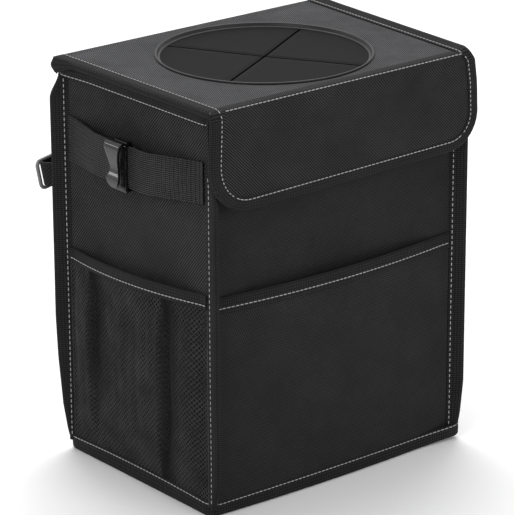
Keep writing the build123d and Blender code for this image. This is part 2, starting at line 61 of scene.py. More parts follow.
# %% Main sizes
MM = 0.001
half_width = 96.5
half_depth = 70.0
seam_x = half_width - 1.0
seam_y = half_depth - 1.0
lid_top = 260.0
lid_bottom = 256.3
rim_top = 255.0
wall_top = 254.2
lid_half_width = 103.0
lid_rear = 73.8
flap_inner = -79.4
flap_outer = -82.3
flap_low = 198.0
flap_corner = 29.0
mouth_y = -4.25
tape = 0.8
print("box", 2 * half_width, "x", 2 * half_depth, "lid", 2 * lid_half_width, "x", lid_rear - flap_outer)

# %% [markdown]
# ## Camera
#
# The camera was fitted to the photograph: straight edges of the box, the lid and the flap were matched to
# where they are seen, which gave the angle, the distance and the long lens. It comes first, so that every
# piece can be compared as it is made.

# %% Camera at the photograph's view
azimuth, elevation, roll = radians(-39.25), radians(19.79), radians(-0.23)
distance = 1985.39 * MM
target = Vector((0, 3.175, 125.15)) * MM
back = Vector((sin(azimuth) * cos(elevation), -cos(azimuth) * cos(elevation), sin(elevation)))
level_right = Vector((cos(azimuth), sin(azimuth), 0))
level_up = back.cross(level_right)
camera_right = level_right * cos(roll) + level_up * sin(roll)
camera_up = level_up * cos(roll) - level_right * sin(roll)
lens = bpy.data.cameras.new("photo_view")
lens.sensor_width = 36.0
lens.lens = 36.0 * 3158.45 / 515
lens.clip_end = 20.0
camera = bpy.data.objects.new("photo_view", lens)
turn = Matrix((camera_right, camera_up, back)).transposed().to_4x4()
camera.matrix_world = Matrix.Translation(target + back * distance) @ turn
scene.collection.objects.link(camera)
scene.camera = camera
print("lens", round(lens.lens, 1), "mm at", [round(c, 3) for c in camera.location])

# %% [markdown]
# ## Finishes
#
# Colours are written as sRGB hex, as they are read from a picture, and turned to the linear values that
# shaders work with. Pattern scales come from real sizes: a wave texture has one band for each 2 pi / 20 of
# its coordinate, and the cloth's UV map is in metres.

# %% Helpers for materials
def linear(code):
    """An sRGB colour such as #1e1e1e as linear red, green, blue and alpha."""
    shares = [int(code[i : i + 2], 16) / 255 for i in (1, 3, 5)]
    return [s / 12.92 if s <= 0.04045 else ((s + 0.055) / 1.055) ** 2.4 for s in shares] + [1.0]


def bands(pitch):
    """The wave texture's scale for bands that are pitch millimetres apart."""
    return 2 * pi / 20 / (pitch * MM)


def grains(size):
    """The noise texture's scale for grains of about this many millimetres."""
    return 1 / (size * MM)


def add_node(tree, kind, sockets=None, links=None, **settings):
    """One node with its settings, the values of its sockets and the outputs that feed it."""
    node = tree.nodes.new(kind)
    for name, value in settings.items():
        setattr(node, name, value)
    for name, value in (sockets or {}).items():
        node.inputs[name].default_value = value
    for name, source in (links or {}).items():
        tree.links.new(source, node.inputs[name])
    return node


def new_finish(name, **sockets):
    """A material with one Principled shader, whose plain values are set on its own sockets."""
    material = bpy.data.materials.new(name)
    material.use_nodes = True
    tree = material.node_tree
    shader = tree.nodes["Principled BSDF"]
    for socket, value in sockets.items():
        shader.inputs[socket.replace("_", " ")].default_value = value
    return material, tree, shader


def mixed(tree, dark, light, share):
    """Between two colours, by a share."""
    colours = {6: linear(dark), 7: linear(light)}
    return add_node(tree, "ShaderNodeMix", colours, {0: share}, data_type="RGBA").outputs[2]


def shaded(tree, colour, level):
    """A colour times a level."""
    return add_node(tree, "ShaderNodeVectorMath", {}, {0: colour, 1: level}, operation="MULTIPLY").outputs[0]


def raise_bumps(tree, shader, height, strength, depth):
    """A bump on the shader, as deep as this many millimetres."""
    sizes = {"Strength": strength, "Distance": depth * MM}
    bump = add_node(tree, "ShaderNodeBump", sizes, {"Height": height})
    tree.links.new(bump.outputs[0], shader.inputs["Normal"])


print("#808080 is", round(linear("#808080")[0], 3), "and bands of 1.5 mm have scale", round(bands(1.5)))

# %% [markdown]
# Woven cloth is two sets of threads. In a twill the crossings step sideways from row to row, so the eye
# sees diagonal ribs; in a plain weave it sees a fine even grain. Each is drawn by two crossing waves,
# which give both the bump and the lighter crowns of the threads, and slow noise fades the cloth a little
# from place to place.

# %% Woven cloths
def woven(name, deep, crown, along, across, turned, depth, crossing=62, worn=0.14, wander=0.9, **sockets):
    """Cloth or tape: bands of two pitches in millimetres, the first turned by some degrees."""
    material, tree, shader = new_finish(name, **sockets)
    # Light that falls between threads is lost, so cloth shines less than a smooth face.
    shader.inputs["Specular IOR Level"].default_value = 0.12
    place = add_node(tree, "ShaderNodeTexCoord").outputs["UV"]
    waves = []
    for pitch, angle, detail in ((along, turned, 0.6), (across, turned + crossing, 0.8)):
        turn = add_node(tree, "ShaderNodeMapping", {"Rotation": (0, 0, radians(angle))}, {"Vector": place})
        sizes = {"Scale": bands(pitch), "Distortion": wander, "Detail": 2.0, "Detail Scale": detail}
        wave = add_node(tree, "ShaderNodeTexWave", sizes, {"Vector": turn.outputs[0]})
        waves.append(wave.outputs["Fac"])
    ribs, threads = waves
    floats = add_node(tree, "ShaderNodeMath", {1: 0.65, 2: 0.35}, {0: threads}, operation="MULTIPLY_ADD")
    crossings = {0: ribs, 1: floats.outputs[0]}
    weave = add_node(tree, "ShaderNodeMath", {}, crossings, operation="MULTIPLY").outputs[0]
    patches = {"Scale": grains(38), "Detail": 8.0, "Roughness": 0.72}
    fading = add_node(tree, "ShaderNodeTexNoise", patches, {"Vector": place}).outputs["Fac"]
    limits = {"From Min": 0.3, "From Max": 0.7, "To Min": 1 - worn, "To Max": 1 + worn}
    level = add_node(tree, "ShaderNodeMapRange", limits, {"Value": fading}).outputs[0]
    faded = shaded(tree, mixed(tree, deep, crown, weave), level)
    tree.links.new(faded, shader.inputs["Base Color"])
    raise_bumps(tree, shader, weave, 0.9, depth)
    return material


# Polyester twill: its ribs lean one way on the walls and the other way, and closer, on the flap.
wall_twill = woven(
    "polyester_twill_walls", "#030303", "#424243", along=1.55, across=1.1, turned=40, depth=0.45,
    crossing=55, worn=0.4, wander=1.6, Roughness=0.8,
)
flap_twill = woven(
    "polyester_twill_flap", "#010101", "#424243", along=1.35, across=1.0, turned=-45, depth=0.4,
    worn=0.3, Roughness=0.8,
)
# Oxford cloth: an even grain, drawn wider than it is woven, so that it shows. The lid's is greyer.
oxford = {"along": 1.2, "across": 1.2, "turned": 25, "crossing": 90, "worn": 0.25, "wander": 2.5}
front_weave = woven("oxford_cloth_front", "#080808", "#39393a", depth=0.25, **oxford, Roughness=0.8)
lid_weave = woven("oxford_cloth_lid", "#1e1e1f", "#68686a", depth=0.3, **oxford, Roughness=0.9)
# Grosgrain tape: ribs across its length, close together, so an edge looks finely ruled.
grosgrain = woven(
    "grosgrain_tape", "#060606", "#2e2e2e", along=1.3, across=1.9, turned=0, depth=0.3, crossing=90,
    worn=0.3, wander=1.5, Roughness=0.75,
)
# Elastic: rubber threads lie along it and the yarn crosses them in ribs that catch the light.
ribbed_elastic = woven(
    "ribbed_elastic", "#050505", "#464646", along=1.3, across=1.6, turned=0, depth=0.35, crossing=90,
    worn=0.4, wander=2.6, Roughness=0.75,
)
# Nylon webbing: a tight herringbone, seen as short bands.
webbing = woven(
    "nylon_webbing", "#040404", "#2c2c2c", along=1.6, across=1.6, turned=45, depth=0.3, crossing=90,
    worn=0.2, Roughness=0.65,
)
# Nylon taffeta lining of the lid and the flap, smoother than the outside.
taffeta = woven(
    "taffeta_lining", "#1c1c1e", "#414143", along=1.2, across=1.2, turned=20, depth=0.1, crossing=90,
    worn=0.1, Roughness=0.6,
)
print("woven finishes", len(bpy.data.materials))

# %% [markdown]
# The other finishes have no threads: rubber is smooth and matt with a fine grain, moulded plastic is
# glossy with a faint flow, the waterproof film is satin, and the hook and loop strips are a rough pile.

# %% Moulded, filmed and pile finishes
def grained(name, dark, light, size, depth, **sockets):
    """A finish with one noise for its colour and its bump, whose grains are size millimetres."""
    material, tree, shader = new_finish(name, **sockets)
    place = add_node(tree, "ShaderNodeTexCoord").outputs["Object"]
    sizes = {"Scale": grains(size), "Detail": 4.0}
    grain = add_node(tree, "ShaderNodeTexNoise", sizes, {"Vector": place}).outputs["Fac"]
    tree.links.new(mixed(tree, dark, light, grain), shader.inputs["Base Color"])
    raise_bumps(tree, shader, grain, 0.7, depth)
    return material


# Moulded rubber: the membrane drinks the light, and the polished ring shows a thin line of it on its lip.
dull = {"Roughness": 0.5, "Specular_IOR_Level": 0.015}
polished = {"Roughness": 0.4, "Specular_IOR_Level": 0.2}
mouth_rubber = grained("moulded_rubber", "#141415", "#1b1b1c", size=6.0, depth=0.06, **dull)
ring_rubber = grained("moulded_rubber_ring", "#141415", "#1c1c1d", size=6.0, depth=0.06, **polished)
# Acetal: a hard smooth moulding with bright narrow highlights, black on the hooks and grey on the slider.
clip_plastic = grained("acetal_black", "#0c0c0c", "#141414", size=5.0, depth=0.02, Roughness=0.22)
slider_plastic = grained("acetal_grey", "#5c5c5e", "#6a6a6c", size=4.0, depth=0.03, Roughness=0.28)
# PVC film: satin, so the inside of the box has a soft wide sheen over its dents.
film = grained("pvc_film_lining", "#2c2c2e", "#3a3a3c", size=9.0, depth=0.25, Roughness=0.42)
# Polypropylene board: plain, matt and grey, hidden in the cloth.
board_card = grained("polypropylene_board", "#5a5a5a", "#6c6c6c", size=3.0, depth=0.06, Roughness=0.7)
# Hook and loop pile: a rough nap with no shine.
napped = {"Roughness": 0.95, "Specular_IOR_Level": 0.1}
pile = grained("hook_and_loop_pile", "#050505", "#2a2a2a", size=0.8, depth=0.5, **napped)
# Polyester thread: light grey, the one pale line on the dark object.
twisted = {"Roughness": 0.6, "Specular_IOR_Level": 0.2}
thread = grained("polyester_thread", "#828282", "#b0b0b0", size=1.0, depth=0.08, **twisted)
print("finishes", len(bpy.data.materials))

# %% [markdown]
# The net is knitted of dull yarn. Where the pocket is gathered the yarn is packed and lies in its own
# shade. A render at this size is too coarse to show that by itself, so each point of the net carries a
# number, fold_shade, that says how much light reaches it, and the colour is multiplied by it.

# %% Net yarn
net_yarn, tree, shader = new_finish("polyester_net_yarn", Roughness=0.7, Specular_IOR_Level=0.2)
place = add_node(tree, "ShaderNodeTexCoord").outputs["Object"]
shade = add_node(tree, "ShaderNodeAttribute", attribute_name="fold_shade")
yarn_grain = add_node(tree, "ShaderNodeTexNoise", {"Scale": grains(16), "Detail": 6.0}, {"Vector": place})
yarn_colour = mixed(tree, "#0e0e0e", "#545454", yarn_grain.outputs["Fac"])
yarn_shaded = shaded(tree, yarn_colour, shade.outputs["Fac"])
tree.links.new(yarn_shaded, shader.inputs["Base Color"])
print("net yarn", len(tree.nodes), "nodes")

# %% [markdown]
# ## Cloth
#
# Every sheet starts as a flat grid, as cloth starts flat. A function says where each point of the flat
# cloth lies on the object, the UV map keeps the flat size in metres, and solidify gives the thickness
# inwards. The cloth here is held by boards and seams on all sides, so its small waves are moved in code
# and no simulation is run.

# %% Helpers for cloth
def soft(a, b, size, depth, seed):
    """A slow wave of the cloth, between -depth and depth, the same in each run."""
    return depth * noise.noise(Vector((a / size, b / size, seed * 7.3)))


def ease(t):
    """0 to 1 with a soft start and end."""
    t = min(max(t, 0.0), 1.0)
    return t * t * (3 - 2 * t)


def between(value, pairs):
    """Straight steps through (value, result) pairs."""
    if value <= pairs[0][0]:
        return pairs[0][1]
    for (a, low), (b, high) in zip(pairs, pairs[1:]):
        if value <= b:
            return low + (high - low) * (value - a) / (b - a)
    return pairs[-1][1]


def cloth(place, columns, rows, thickness, flat, closed=False):
    """A sheet whose point (u, v) lies at place(u, v); flat is its cut size, or a function for its UV map."""
    bm = bmesh.new()
    chart = bm.loops.layers.uv.new("UVMap")
    bmesh.ops.create_grid(bm, x_segments=columns, y_segments=rows, size=0.5)
    for face in bm.faces:
        for loop in face.loops:
            u, v = loop.vert.co.x + 0.5, loop.vert.co.y + 0.5
            spread = flat(u, v) if callable(flat) else (u * flat[0], v * flat[1])
            loop[chart].uv = (spread[0] * MM, spread[1] * MM)
    for vert in bm.verts:
        vert.co = Vector(place(vert.co.x + 0.5, vert.co.y + 0.5)) * MM
    if closed:
        bmesh.ops.remove_doubles(bm, verts=bm.verts, dist=0.01 * MM)
    bm.normal_update()
    bmesh.ops.solidify(bm, geom=bm.faces[:], thickness=thickness * MM)
    return bm


def keep(bm, name, finish, body=None, bend=None, replaces=(), sharp=50):
    """The bmesh as a named piece with its finish, on a body, or on none with its place baked in when a bend
    is given.
    """
    mesh = bpy.data.meshes.new(name)
    bm.to_mesh(mesh)
    bm.free()
    mesh.materials.append(finish)
    mesh.shade_smooth()
    mesh.set_sharp_from_angle(angle=radians(sharp))
    piece = bpy.data.objects.new(name, mesh)
    scene.collection.objects.link(piece)
    if bend:
        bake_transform(piece)
    else:
        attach(piece, body)
    if replaces:
        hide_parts(*replaces)
    print(name, len(mesh.polygons), "faces")
    return piece


def mirrored(piece, name, body, replaces):
    """The same piece for the right side."""
    bm = bmesh.new()
    bm.from_mesh(piece.data)
    bmesh.ops.transform(bm, matrix=Matrix.Scale(-1, 4, (1, 0, 0)), verts=bm.verts)
    bmesh.ops.reverse_faces(bm, faces=bm.faces)
    return keep(bm, name, piece.data.materials[0], body, replaces=replaces)


print("a slow wave at three places", [round(soft(place, 0, 40, 1.0, 1), 2) for place in (10, 30, 50)])

# %% [markdown]
# ## Walls
#
# Each wall is a panel of cloth over a board. A wall is described by the direction along it, the direction
# away from it and its distance from the middle, so that one function serves the panels and all that is
# sewn on them. The left and right directions are chosen so that the cloth's front always faces outwards.

# %% Wall panels
walls = {
    "front": ((1, 0), (0, -1), half_depth, half_width),
    "right": ((0, 1), (1, 0), half_width, half_depth),
    "back": ((-1, 0), (0, 1), half_depth, half_width),
    "left": ((0, -1), (-1, 0), half_width, half_depth),
}


def on_wall(wall, along, height, standoff):
    """The point at a place along a wall, at a height, and some way off its face."""
    run, out, away = walls[wall][:3]
    reach = away + standoff
    return (run[0] * along + out[0] * reach, run[1] * along + out[1] * reach, height)


wall_finishes = {"front": front_weave, "right": wall_twill, "back": wall_twill, "left": wall_twill}
for number, wall in enumerate(walls):
    half = walls[wall][3] - 0.1

    def panel(u, v):
        along, height = (2 * u - 1) * half, tape + v * (wall_top - tape)
        edge = min(ease((half - abs(along)) / 22), ease((height - 6) / 25), ease((rim_top - 6 - height) / 25))
        return on_wall(wall, along, height, edge * (0.35 + soft(along, height, 55, 0.6, number)))

    bm = cloth(panel, 60, 70, 1.0, (2 * half, wall_top - tape))
    piece = keep(bm, f"{wall}_panel", wall_finishes[wall], "bin", replaces=[f"{wall}_cover"])


def base_panel(u, v):
    return ((2 * u - 1) * seam_x, (1 - 2 * v) * seam_y, tape)


bm = cloth(base_panel, 24, 18, 1.0, (2 * seam_x, 2 * seam_y))
piece = keep(bm, "base_panel", wall_twill, "bin", replaces=["base_cover"])

# %% [markdown]
# ## Folded tape
#
# All raw edges of the bin are bound: a tape is folded round the edge and sewn through. Its section is two
# legs joined by a half round. That section is swept along each edge, so one small function gives the
# section and each binding only says where its edge runs.

# %% Section of a folded tape
def folded(leg, half, steps=6):
    """Points of (distance behind the edge, side) from one leg over the edge to the other leg."""
    points = [(-leg, -half), (-leg * 0.6, -half * 1.02)]
    for step in range(steps + 1):
        angle = -pi / 2 + pi * step / steps
        points.append((half * (cos(angle) - 1), half * sin(angle)))
    return points + [(-leg * 0.6, half * 1.02), (-leg, half)]


def along_section(points, share):
    """The point at a share of the section's length."""
    steps = [hypot(b[0] - a[0], b[1] - a[1]) for a, b in zip(points, points[1:])]
    left = share * sum(steps)
    for (a, b), step in zip(zip(points, points[1:]), steps):
        if left <= step:
            t = left / step
            return (a[0] + (b[0] - a[0]) * t, a[1] + (b[1] - a[1]) * t)
        left -= step
    return points[-1]


print("section of a tape", len(folded(8, 1.8)), "points")

# %% [markdown]
# ## Corner seams
#
# At each corner the two panels are turned out and bound, and the bound seam stands out as a fin about 10
# mm wide. The fins run out towards the rim and the base, and the one at the front left has been pushed
# over to the front. Each fin has a table of its width at some heights, and a fin point is given by height,
# way out and side.

# %% Shape of the fins
fin_half = 1.75
fin_low = 6.0
fin_top = 246.3
front_foot = [(8.4, 8.3), (19.0, 9.9), (40.0, 11.6)]
folded_foot = [(8.4, 5.0), (20.0, 8.6), (36.0, 10.0)]
back_foot = [(8.4, 4.6), (12.0, 5.6), (30.0, 8.4), (62.0, 10.8), (90.0, 11.8)]
fins = {
    "front_left": (-1, -1, 261, 220.0, folded_foot),
    "front_right": (1, -1, 315, fin_top, front_foot),
    "back_left": (-1, 1, 135, fin_top + 3.5, back_foot),
    "back_right": (1, 1, 45, fin_top + 3.5, back_foot),
}


def fin_reach(corner, height):
    """How wide a fin is at a height."""
    top, widths = fins[corner][3:]
    head = 2.6 if corner == "front_left" else 6.0
    wide = between(height, widths)
    return min(wide, head + (widths[-1][1] - head) * ease((top - height) / 17))


def fin_point(corner, height, out, side):
    """A point of a fin: out from the seam, and to one side of its middle."""
    side_x, side_y, direction = fins[corner][:3]
    sway = 4.0 * noise.noise(Vector((height / 70, direction, 0)))
    angle = radians(direction + sway)
    run, across = (cos(angle), sin(angle)), (-sin(angle), cos(angle))
    return (
        side_x * seam_x + run[0] * out + across[0] * side,
        side_y * seam_y + run[1] * out + across[1] * side,
        height,
    )


print("fins", {corner: round(fin_reach(corner, 120), 1) for corner in fins}, "mm wide in the middle")

# %% [markdown]
# The tape is the folded section, as wide as the fin at each height, swept up along it.

# %% Corner bindings
for corner in fins:
    top = fins[corner][3]

    def binding(u, v):
        height = fin_low + u * (top - fin_low)
        reach = fin_reach(corner, height)
        out, side = along_section(folded(reach + 0.4, fin_half), 1 - v)
        return fin_point(corner, height, reach + out, side)

    bm = cloth(binding, 110, 16, 0.7, (top - fin_low, 24.0))
    piece = keep(bm, f"{corner}_seam_tape", grosgrain, "bin", replaces=[f"{corner}_binding"])

# %% [markdown]
# ## Rim, base and liner
#
# The rim tape, the base tape and the waterproof liner all run round the box. They are swept round a
# rectangle with rounded corners: the grid's two ends meet, and merging doubles closes the seam. Where a
# corner seam ends under a tape, the tape is carried out over it.

# %% Loops round the box
side_share = 40 / 48
round_arc = 5.0 * pi / 2
outline = [(0.0, 0.0)]
for quarter in range(4):
    side_length = 2 * (half_depth if quarter % 2 == 0 else half_width) - 10
    outline.append((quarter + side_share, outline[-1][1] + side_length))
    outline.append((quarter + 1.0, outline[-1][1] + round_arc))


def loop_point(share, half_x, half_y, radius):
    """A point on a rounded rectangle and the way out from it, anticlockwise, as many columns on each side."""
    quarter, t = int(share * 4) % 4, (share * 4) % 1.0
    out = Vector(((1, 0), (0, 1), (-1, 0), (0, -1))[quarter])
    run = Vector((-out.y, out.x))
    away, half = (half_x, half_y) if quarter % 2 == 0 else (half_y, half_x)
    if t <= side_share:
        return out * away + run * (2 * t / side_share - 1) * (half - radius), out
    angle = (t - side_share) / (1 - side_share) * pi / 2
    turned = out * cos(angle) + run * sin(angle)
    return out * (away - radius) + run * (half - radius) + turned * radius, turned


# %% [markdown]
# A table gives how far each corner of the two tapes is carried out in X and Y, and by how much its lower
# edge rises. The front of the box also bows at its foot, and the base tape follows it.

# %% Tapes of the rim and the base
rim_section = [
    (0.85, 247.4),
    (0.95, 251.0),
    (0.85, 253.8),
    (0.5, 254.7),
    (-0.4, 255.0),
    (-3.1, 255.0),
    (-3.9, 254.7),
    (-4.3, 253.8),
    (-4.35, 251.0),
    (-4.3, 247.4),
]
seam_ends = {
    "rim": {
        (-1, -1): (0, 0, 0),
        (1, -1): (5.0, 0, 0),
        (-1, 1): (-4.5, 1.5, 1.4),
        (1, 1): (6.0, 1.5, 2.6),
    },
    "base": {
        (-1, -1): (0, 0, 0),
        (1, -1): (6.5, -4.5, 2.2),
        (-1, 1): (0, 3.0, 0),
        (1, 1): (0, 3.0, 0),
    },
}


def carried_out(spot, away, height):
    """A point of a tape, moved by the seam ends under it, and at the base by the front, which bows."""
    corner = (1 if spot.x > 0 else -1, 1 if spot.y > 0 else -1)
    apart = hypot(half_width - abs(spot.x), half_depth - abs(spot.y))
    outside = ease((away + 4) / 4)
    end_x, end_y, rise = seam_ends["rim" if height > 200 else "base"][corner]
    share = ease(1 - apart / (28 if height > 200 or end_y < 0 else 16)) * outside
    x, y = spot.x + end_x * share, spot.y + end_y * share
    if height < 20:
        on_side = ease((abs(spot.x) - half_width + 6) / 6)
        height *= 1.1 + on_side * (0.1 + 0.25 * max(0.0, 1 - (spot.y / 70) ** 2))
        if spot.y < -half_depth:
            y -= 2.8 * max(0.0, 1 - (spot.x / 88) ** 2) * max(0.0, 1 - height / 14) * outside
    else:
        rise *= (rim_section[4][1] - height) / 7.6
    return (x, y, height + rise * share)


def round_the_box(section, radius):
    """A place function for a section of (away from the wall, height) swept round the box."""

    def place(u, v):
        away, height = along_section(section, v)
        spot = loop_point(u, half_width + away, half_depth + away, max(0.8, radius + away))[0]
        return carried_out(spot, away, height)

    return place


def loop_chart(width):
    """The UV map of a tape round the box: the way along the box, and across the tape."""
    return lambda u, v: (between(u * 4, outline), v * width)


base_section = [(-9.0, 0.05), (0.2, 0.0), (1.1, 0.3), (1.6, 1.0), (1.75, 4.0), (1.6, 7.2), (1.2, 8.0)]
loops = {
    "rim": (rim_section, 5.2, ["front_panel", "liner_bag"]),
    "base": (base_section, 5.0, ["front_panel", "base_panel"]),
}
for name, (section, radius, under) in loops.items():
    bm = cloth(round_the_box(section, radius), 192, 18, 0.6, loop_chart(19), closed=True)
    piece = keep(bm, f"{name}_tape", grosgrain, "bin", replaces=[f"{name}_binding"])

# %% [markdown]
# The liner is one welded bag of film. It has slack between the corners, so it waves a little more than the
# outside cloth. The grid runs down the walls and then in over the floor to the middle, where its last row
# is merged. Its front looks inwards, because the inside is what shows.

# %% Liner
liner_x, liner_y, liner_corner = 93.0, 66.5, 5.5
liner_floor = 4.7
wall_share = 0.8  # of the film's rows, the rest is the floor


def liner_film(u, v):
    spot, out = loop_point(u, liner_x, liner_y, liner_corner)
    if v <= wall_share:
        height = wall_top - v / wall_share * (wall_top - liner_floor)
        slack = min(ease((height - 8) / 30), ease((246 - height) / 30))
        spot = spot - out * slack * (0.35 + soft(u * 320, height, 42, 0.5, 11))
        return (spot.x, spot.y, height)
    outwards = (1 - v) / (1 - wall_share)
    spot = spot * outwards
    return (spot.x, spot.y, liner_floor + soft(spot.x, spot.y, 40, 0.2, 5) * ease(outwards))


bm = cloth(liner_film, 192, 60, 0.5, loop_chart(315), closed=True)
piece = keep(bm, "liner_bag", film, "bin", replaces=["liner"])

# %% [markdown]
# ## Front pocket
#
# A panel of cloth is sewn over the lower front, flat at its foot and at its sides. Its bound mouth stands
# off the wall by a few millimetres, which gives the curved dark line across the front.

# %% Front pocket
def arc_offset(along, half_span, bow):
    """How far a bowed sheet stands off, along an arc between its two ends."""
    if abs(along) >= half_span or bow <= 0:
        return 0.0
    radius = (half_span**2 + bow**2) / (2 * bow)
    return sqrt(radius**2 - along**2) - (radius - bow)


pocket_top = 140.5
pocket_span = 88.5
pocket_half = half_width - 2.2


def pocket_standoff(along, height):
    share = ease((height - 6) / 150) * 1.12
    return arc_offset(along, pocket_span, 1.0 + 5.6 * min(share, 1.0))


def front_pocket(u, v):
    along, height = (2 * u - 1) * pocket_half, 7.0 + v * (pocket_top - 8.0)
    free_across = ease((pocket_half - abs(along)) / 20)
    free_up = ease((height - 10) / 25) * ease((pocket_top - 4 - height) / 20)
    wave = free_across * free_up * soft(along, height, 48, 0.5, 21)
    return on_wall("front", along, height, pocket_standoff(along, height) + 1.15 + wave)


pocket_cut = (2 * pocket_half, pocket_top - 8)
bm = cloth(front_pocket, 70, 44, 0.8, pocket_cut)
pocket_cloth = keep(bm, "front_pocket_cloth", front_weave, "bin", replaces=["front_pocket"])

# %% [markdown]
# The pocket's mouth has a hem of folded tape, which stands on the pocket's own curve.

# %% Hem of the front pocket
def hem_section(height, top, near, far):
    """A folded hem as (height, off the wall): up the outside, over the mouth and a little way down inside."""
    middle, half = (near + far) / 2, (far - near) / 2
    return [(top + back, middle - side) for back, side in folded(height, half)]


def front_hem(u, v):
    along = (2 * u - 1) * pocket_half
    height, off = along_section(hem_section(10.2, pocket_top + 0.3, 0.1, 2.0), v)
    return on_wall("front", along, height, pocket_standoff(along, min(height, pocket_top)) + off)


bm = cloth(front_hem, 70, 16, 0.6, (2 * pocket_half, 22.0))
hem = keep(bm, "front_pocket_hem_tape", grosgrain, "bin", replaces=["front_pocket_hem"])

# %% [markdown]
# ## Net pockets
#
# The side pockets are knitted net, gathered below a bound hem, so they hang in three lobes with two deep
# pleats. First comes the shape: how far the net stands off the wall at each place, and how much light gets
# in there.

# %% Shape of the net
net_top = 140.0
net_ends = 64.0
net_half = 68.4
net_hem_bow = 6.5
net_lobes = (5.5, 8.0, 5.0)


def net_tilt(along):
    """The hem is sewn a little higher at the front."""
    return 3.0 * along / net_ends


def net_folds(height):
    """Where the two pleats are at a height."""
    return -42.0, between(height, [(8, 25.0), (30, 29.0), (60, 33.0)])


def lobe_shape(number, t):
    """The first two lobes rise to the pleat before them and drop there. The last one is a dome."""
    if number == 2:
        return max(0.0, sin(pi * t)) ** 0.8
    return max(0.0, t) ** 0.8 * ease((1 - t) / (0.22 if number == 0 else 0.07))


def net_standoff(along, height):
    """Three lobes that swell below the hem, and the hem's own tight line."""
    hem_line = arc_offset(along, net_ends, net_hem_bow)
    stations = (-net_ends, *net_folds(height), net_ends)
    for number in range(3):
        start, end = stations[number : number + 2]
        if start <= along <= end:
            swell = net_lobes[number] * lobe_shape(number, (along - start) / (end - start))
            break
    else:
        return 0.0
    fold_floor = 0.6 * ease((net_ends - abs(along)) / 10)
    share = between(height, [(9, 0.0), (15, 0.06), (34, 0.7), (84, 1.0), (124, 0.8), (131, 0.0)])
    gather = 0.9 * noise.noise(Vector((along / 7, height / 60, 7)))
    gather *= ease((height - 20) / 30) * min(1, 2 * share)
    tight = ease((height - 114) / 17)
    lobes = fold_floor + swell * share + gather
    return max(0.1, lobes * (1 - tight) * ease((height - 9) / 9) + hem_line * tight)


def net_shade(along, height):
    """How much light reaches the yarn: little in the steep face of a pleat and under it."""
    rear, front = net_folds(height)
    shades = [(-4.0, 1.0), (-2.0, 0.1), (2.0, 0.1), (14.0, 1.0)]
    behind = 1 - (1 - between(along - rear, shades)) * ease((height - 30) / 45)
    return behind * between(along - front, shades)


def net_place(along, height):
    lean = net_tilt(along) * ease((height - 60) / 70)
    return on_wall("left", along, height + lean, net_standoff(along, height) + 0.7)


print("net off the wall", [round(net_standoff(along, 80), 1) for along in (-55, -42, 0, 33, 50)], "mm")

# %% [markdown]
# A texture would look flat from close by, so the net is real: poking a grid and dissolving its first edges
# leaves diamonds, and the wireframe operator turns their edges into yarn. The net is drawn coarser than
# the photograph shows it, because a finer one no longer looks like a net at this picture size.

# %% Net of yarn
net_columns, net_rows = 42, 40
net_foot = 7.0
yarn_thickness = 0.7
bm = bmesh.new()
bmesh.ops.create_grid(bm, x_segments=net_columns, y_segments=net_rows, size=0.5)
grid_edges = list(bm.edges)
bmesh.ops.poke(bm, faces=bm.faces[:])
bmesh.ops.dissolve_edges(bm, edges=[e for e in grid_edges if not e.is_boundary], use_verts=False)
for vert in bm.verts:
    along = (vert.co.x * 2) * net_half
    height = net_foot + (vert.co.y + 0.5) * (net_top - 10.0)
    vert.co = Vector(net_place(along, height)) * MM
bm.normal_update()
bmesh.ops.wireframe(
    bm,
    faces=bm.faces[:],
    thickness=yarn_thickness * MM,
    offset=0.0,
    use_replace=True,
    use_boundary=True,
    use_even_offset=False,
)
fold_shade = bm.verts.layers.float.new("fold_shade")
for vert in bm.verts:
    vert[fold_shade] = net_shade(-vert.co.y / MM, vert.co.z / MM)
net = keep(bm, "left_net_pocket", net_yarn, "bin", replaces=["left_mesh_pocket"], sharp=80)

# %% [markdown]
# The net's hem is folded tape as on the front pocket. The right pocket isn't seen in the photograph and is
# taken to be the mirror image of the left one.

# %% Hems of the nets
def net_hem(u, v):
    along = (2 * u - 1) * (net_half + 0.4)
    height, off = along_section(hem_section(9.2, net_top + 0.3, 0.0, 1.9), v)
    off += arc_offset(along, net_ends, net_hem_bow)
    return on_wall("left", along, height + net_tilt(along), off)


net_hem_tape = keep(
    cloth(net_hem, 60, 16, 0.6, (2 * net_half, 20.0)),
    "left_net_hem_tape",
    grosgrain,
    "bin",
    replaces=["left_mesh_pocket_hem"],
)
right_net = mirrored(net, "right_net_pocket", "bin", ["right_mesh_pocket"])
right_net_hem = mirrored(net_hem_tape, "right_net_hem_tape", "bin", ["right_mesh_pocket_hem"])

# %% [markdown]
# ## Elastic bands
#
# A wide elastic is sewn down at both ends of each side and stands off the wall between them, where the
# moulded hook slides on it. The elastic keeps a straight stretch where the hook runs. Its ends are
# flattened by sewing.

# %% Elastic bands
band_half = 66.5


def band_standoff(along):
    return between(along, [(-61.5, 0.0), (-27.5, 8.9), (-24.5, 9.0), (18.5, 9.0), (21.5, 8.9), (61.5, 0.0)])


def elastic(u, v):
    along = (2 * u - 1) * band_half
    low = between(along, [(-66, 193.6), (-30, 196.3), (24, 196.3), (66, 199.6)])
    high = between(along, [(-66, 222.8), (-30, 222.7), (24, 222.7), (66, 225.6)])
    off = sum(band_standoff(along + step) for step in (-3, -1.5, 0, 1.5, 3)) / 5
    slide = ease((abs(along + 3) - 22) / 12)
    lines = 0.22 * sin(v * 2 * pi * 8) * ease((-along - 22) / 16)
    ribs = 0.3 * sin(along * 2 * pi / 3.1) * ease((along - 24) / 18)
    curl = slide * 0.8 * sin(pi * v) * ease((66 - abs(along)) / 14)
    return on_wall("left", along, low + v * (high - low), off + 1.4 + lines + ribs + curl)


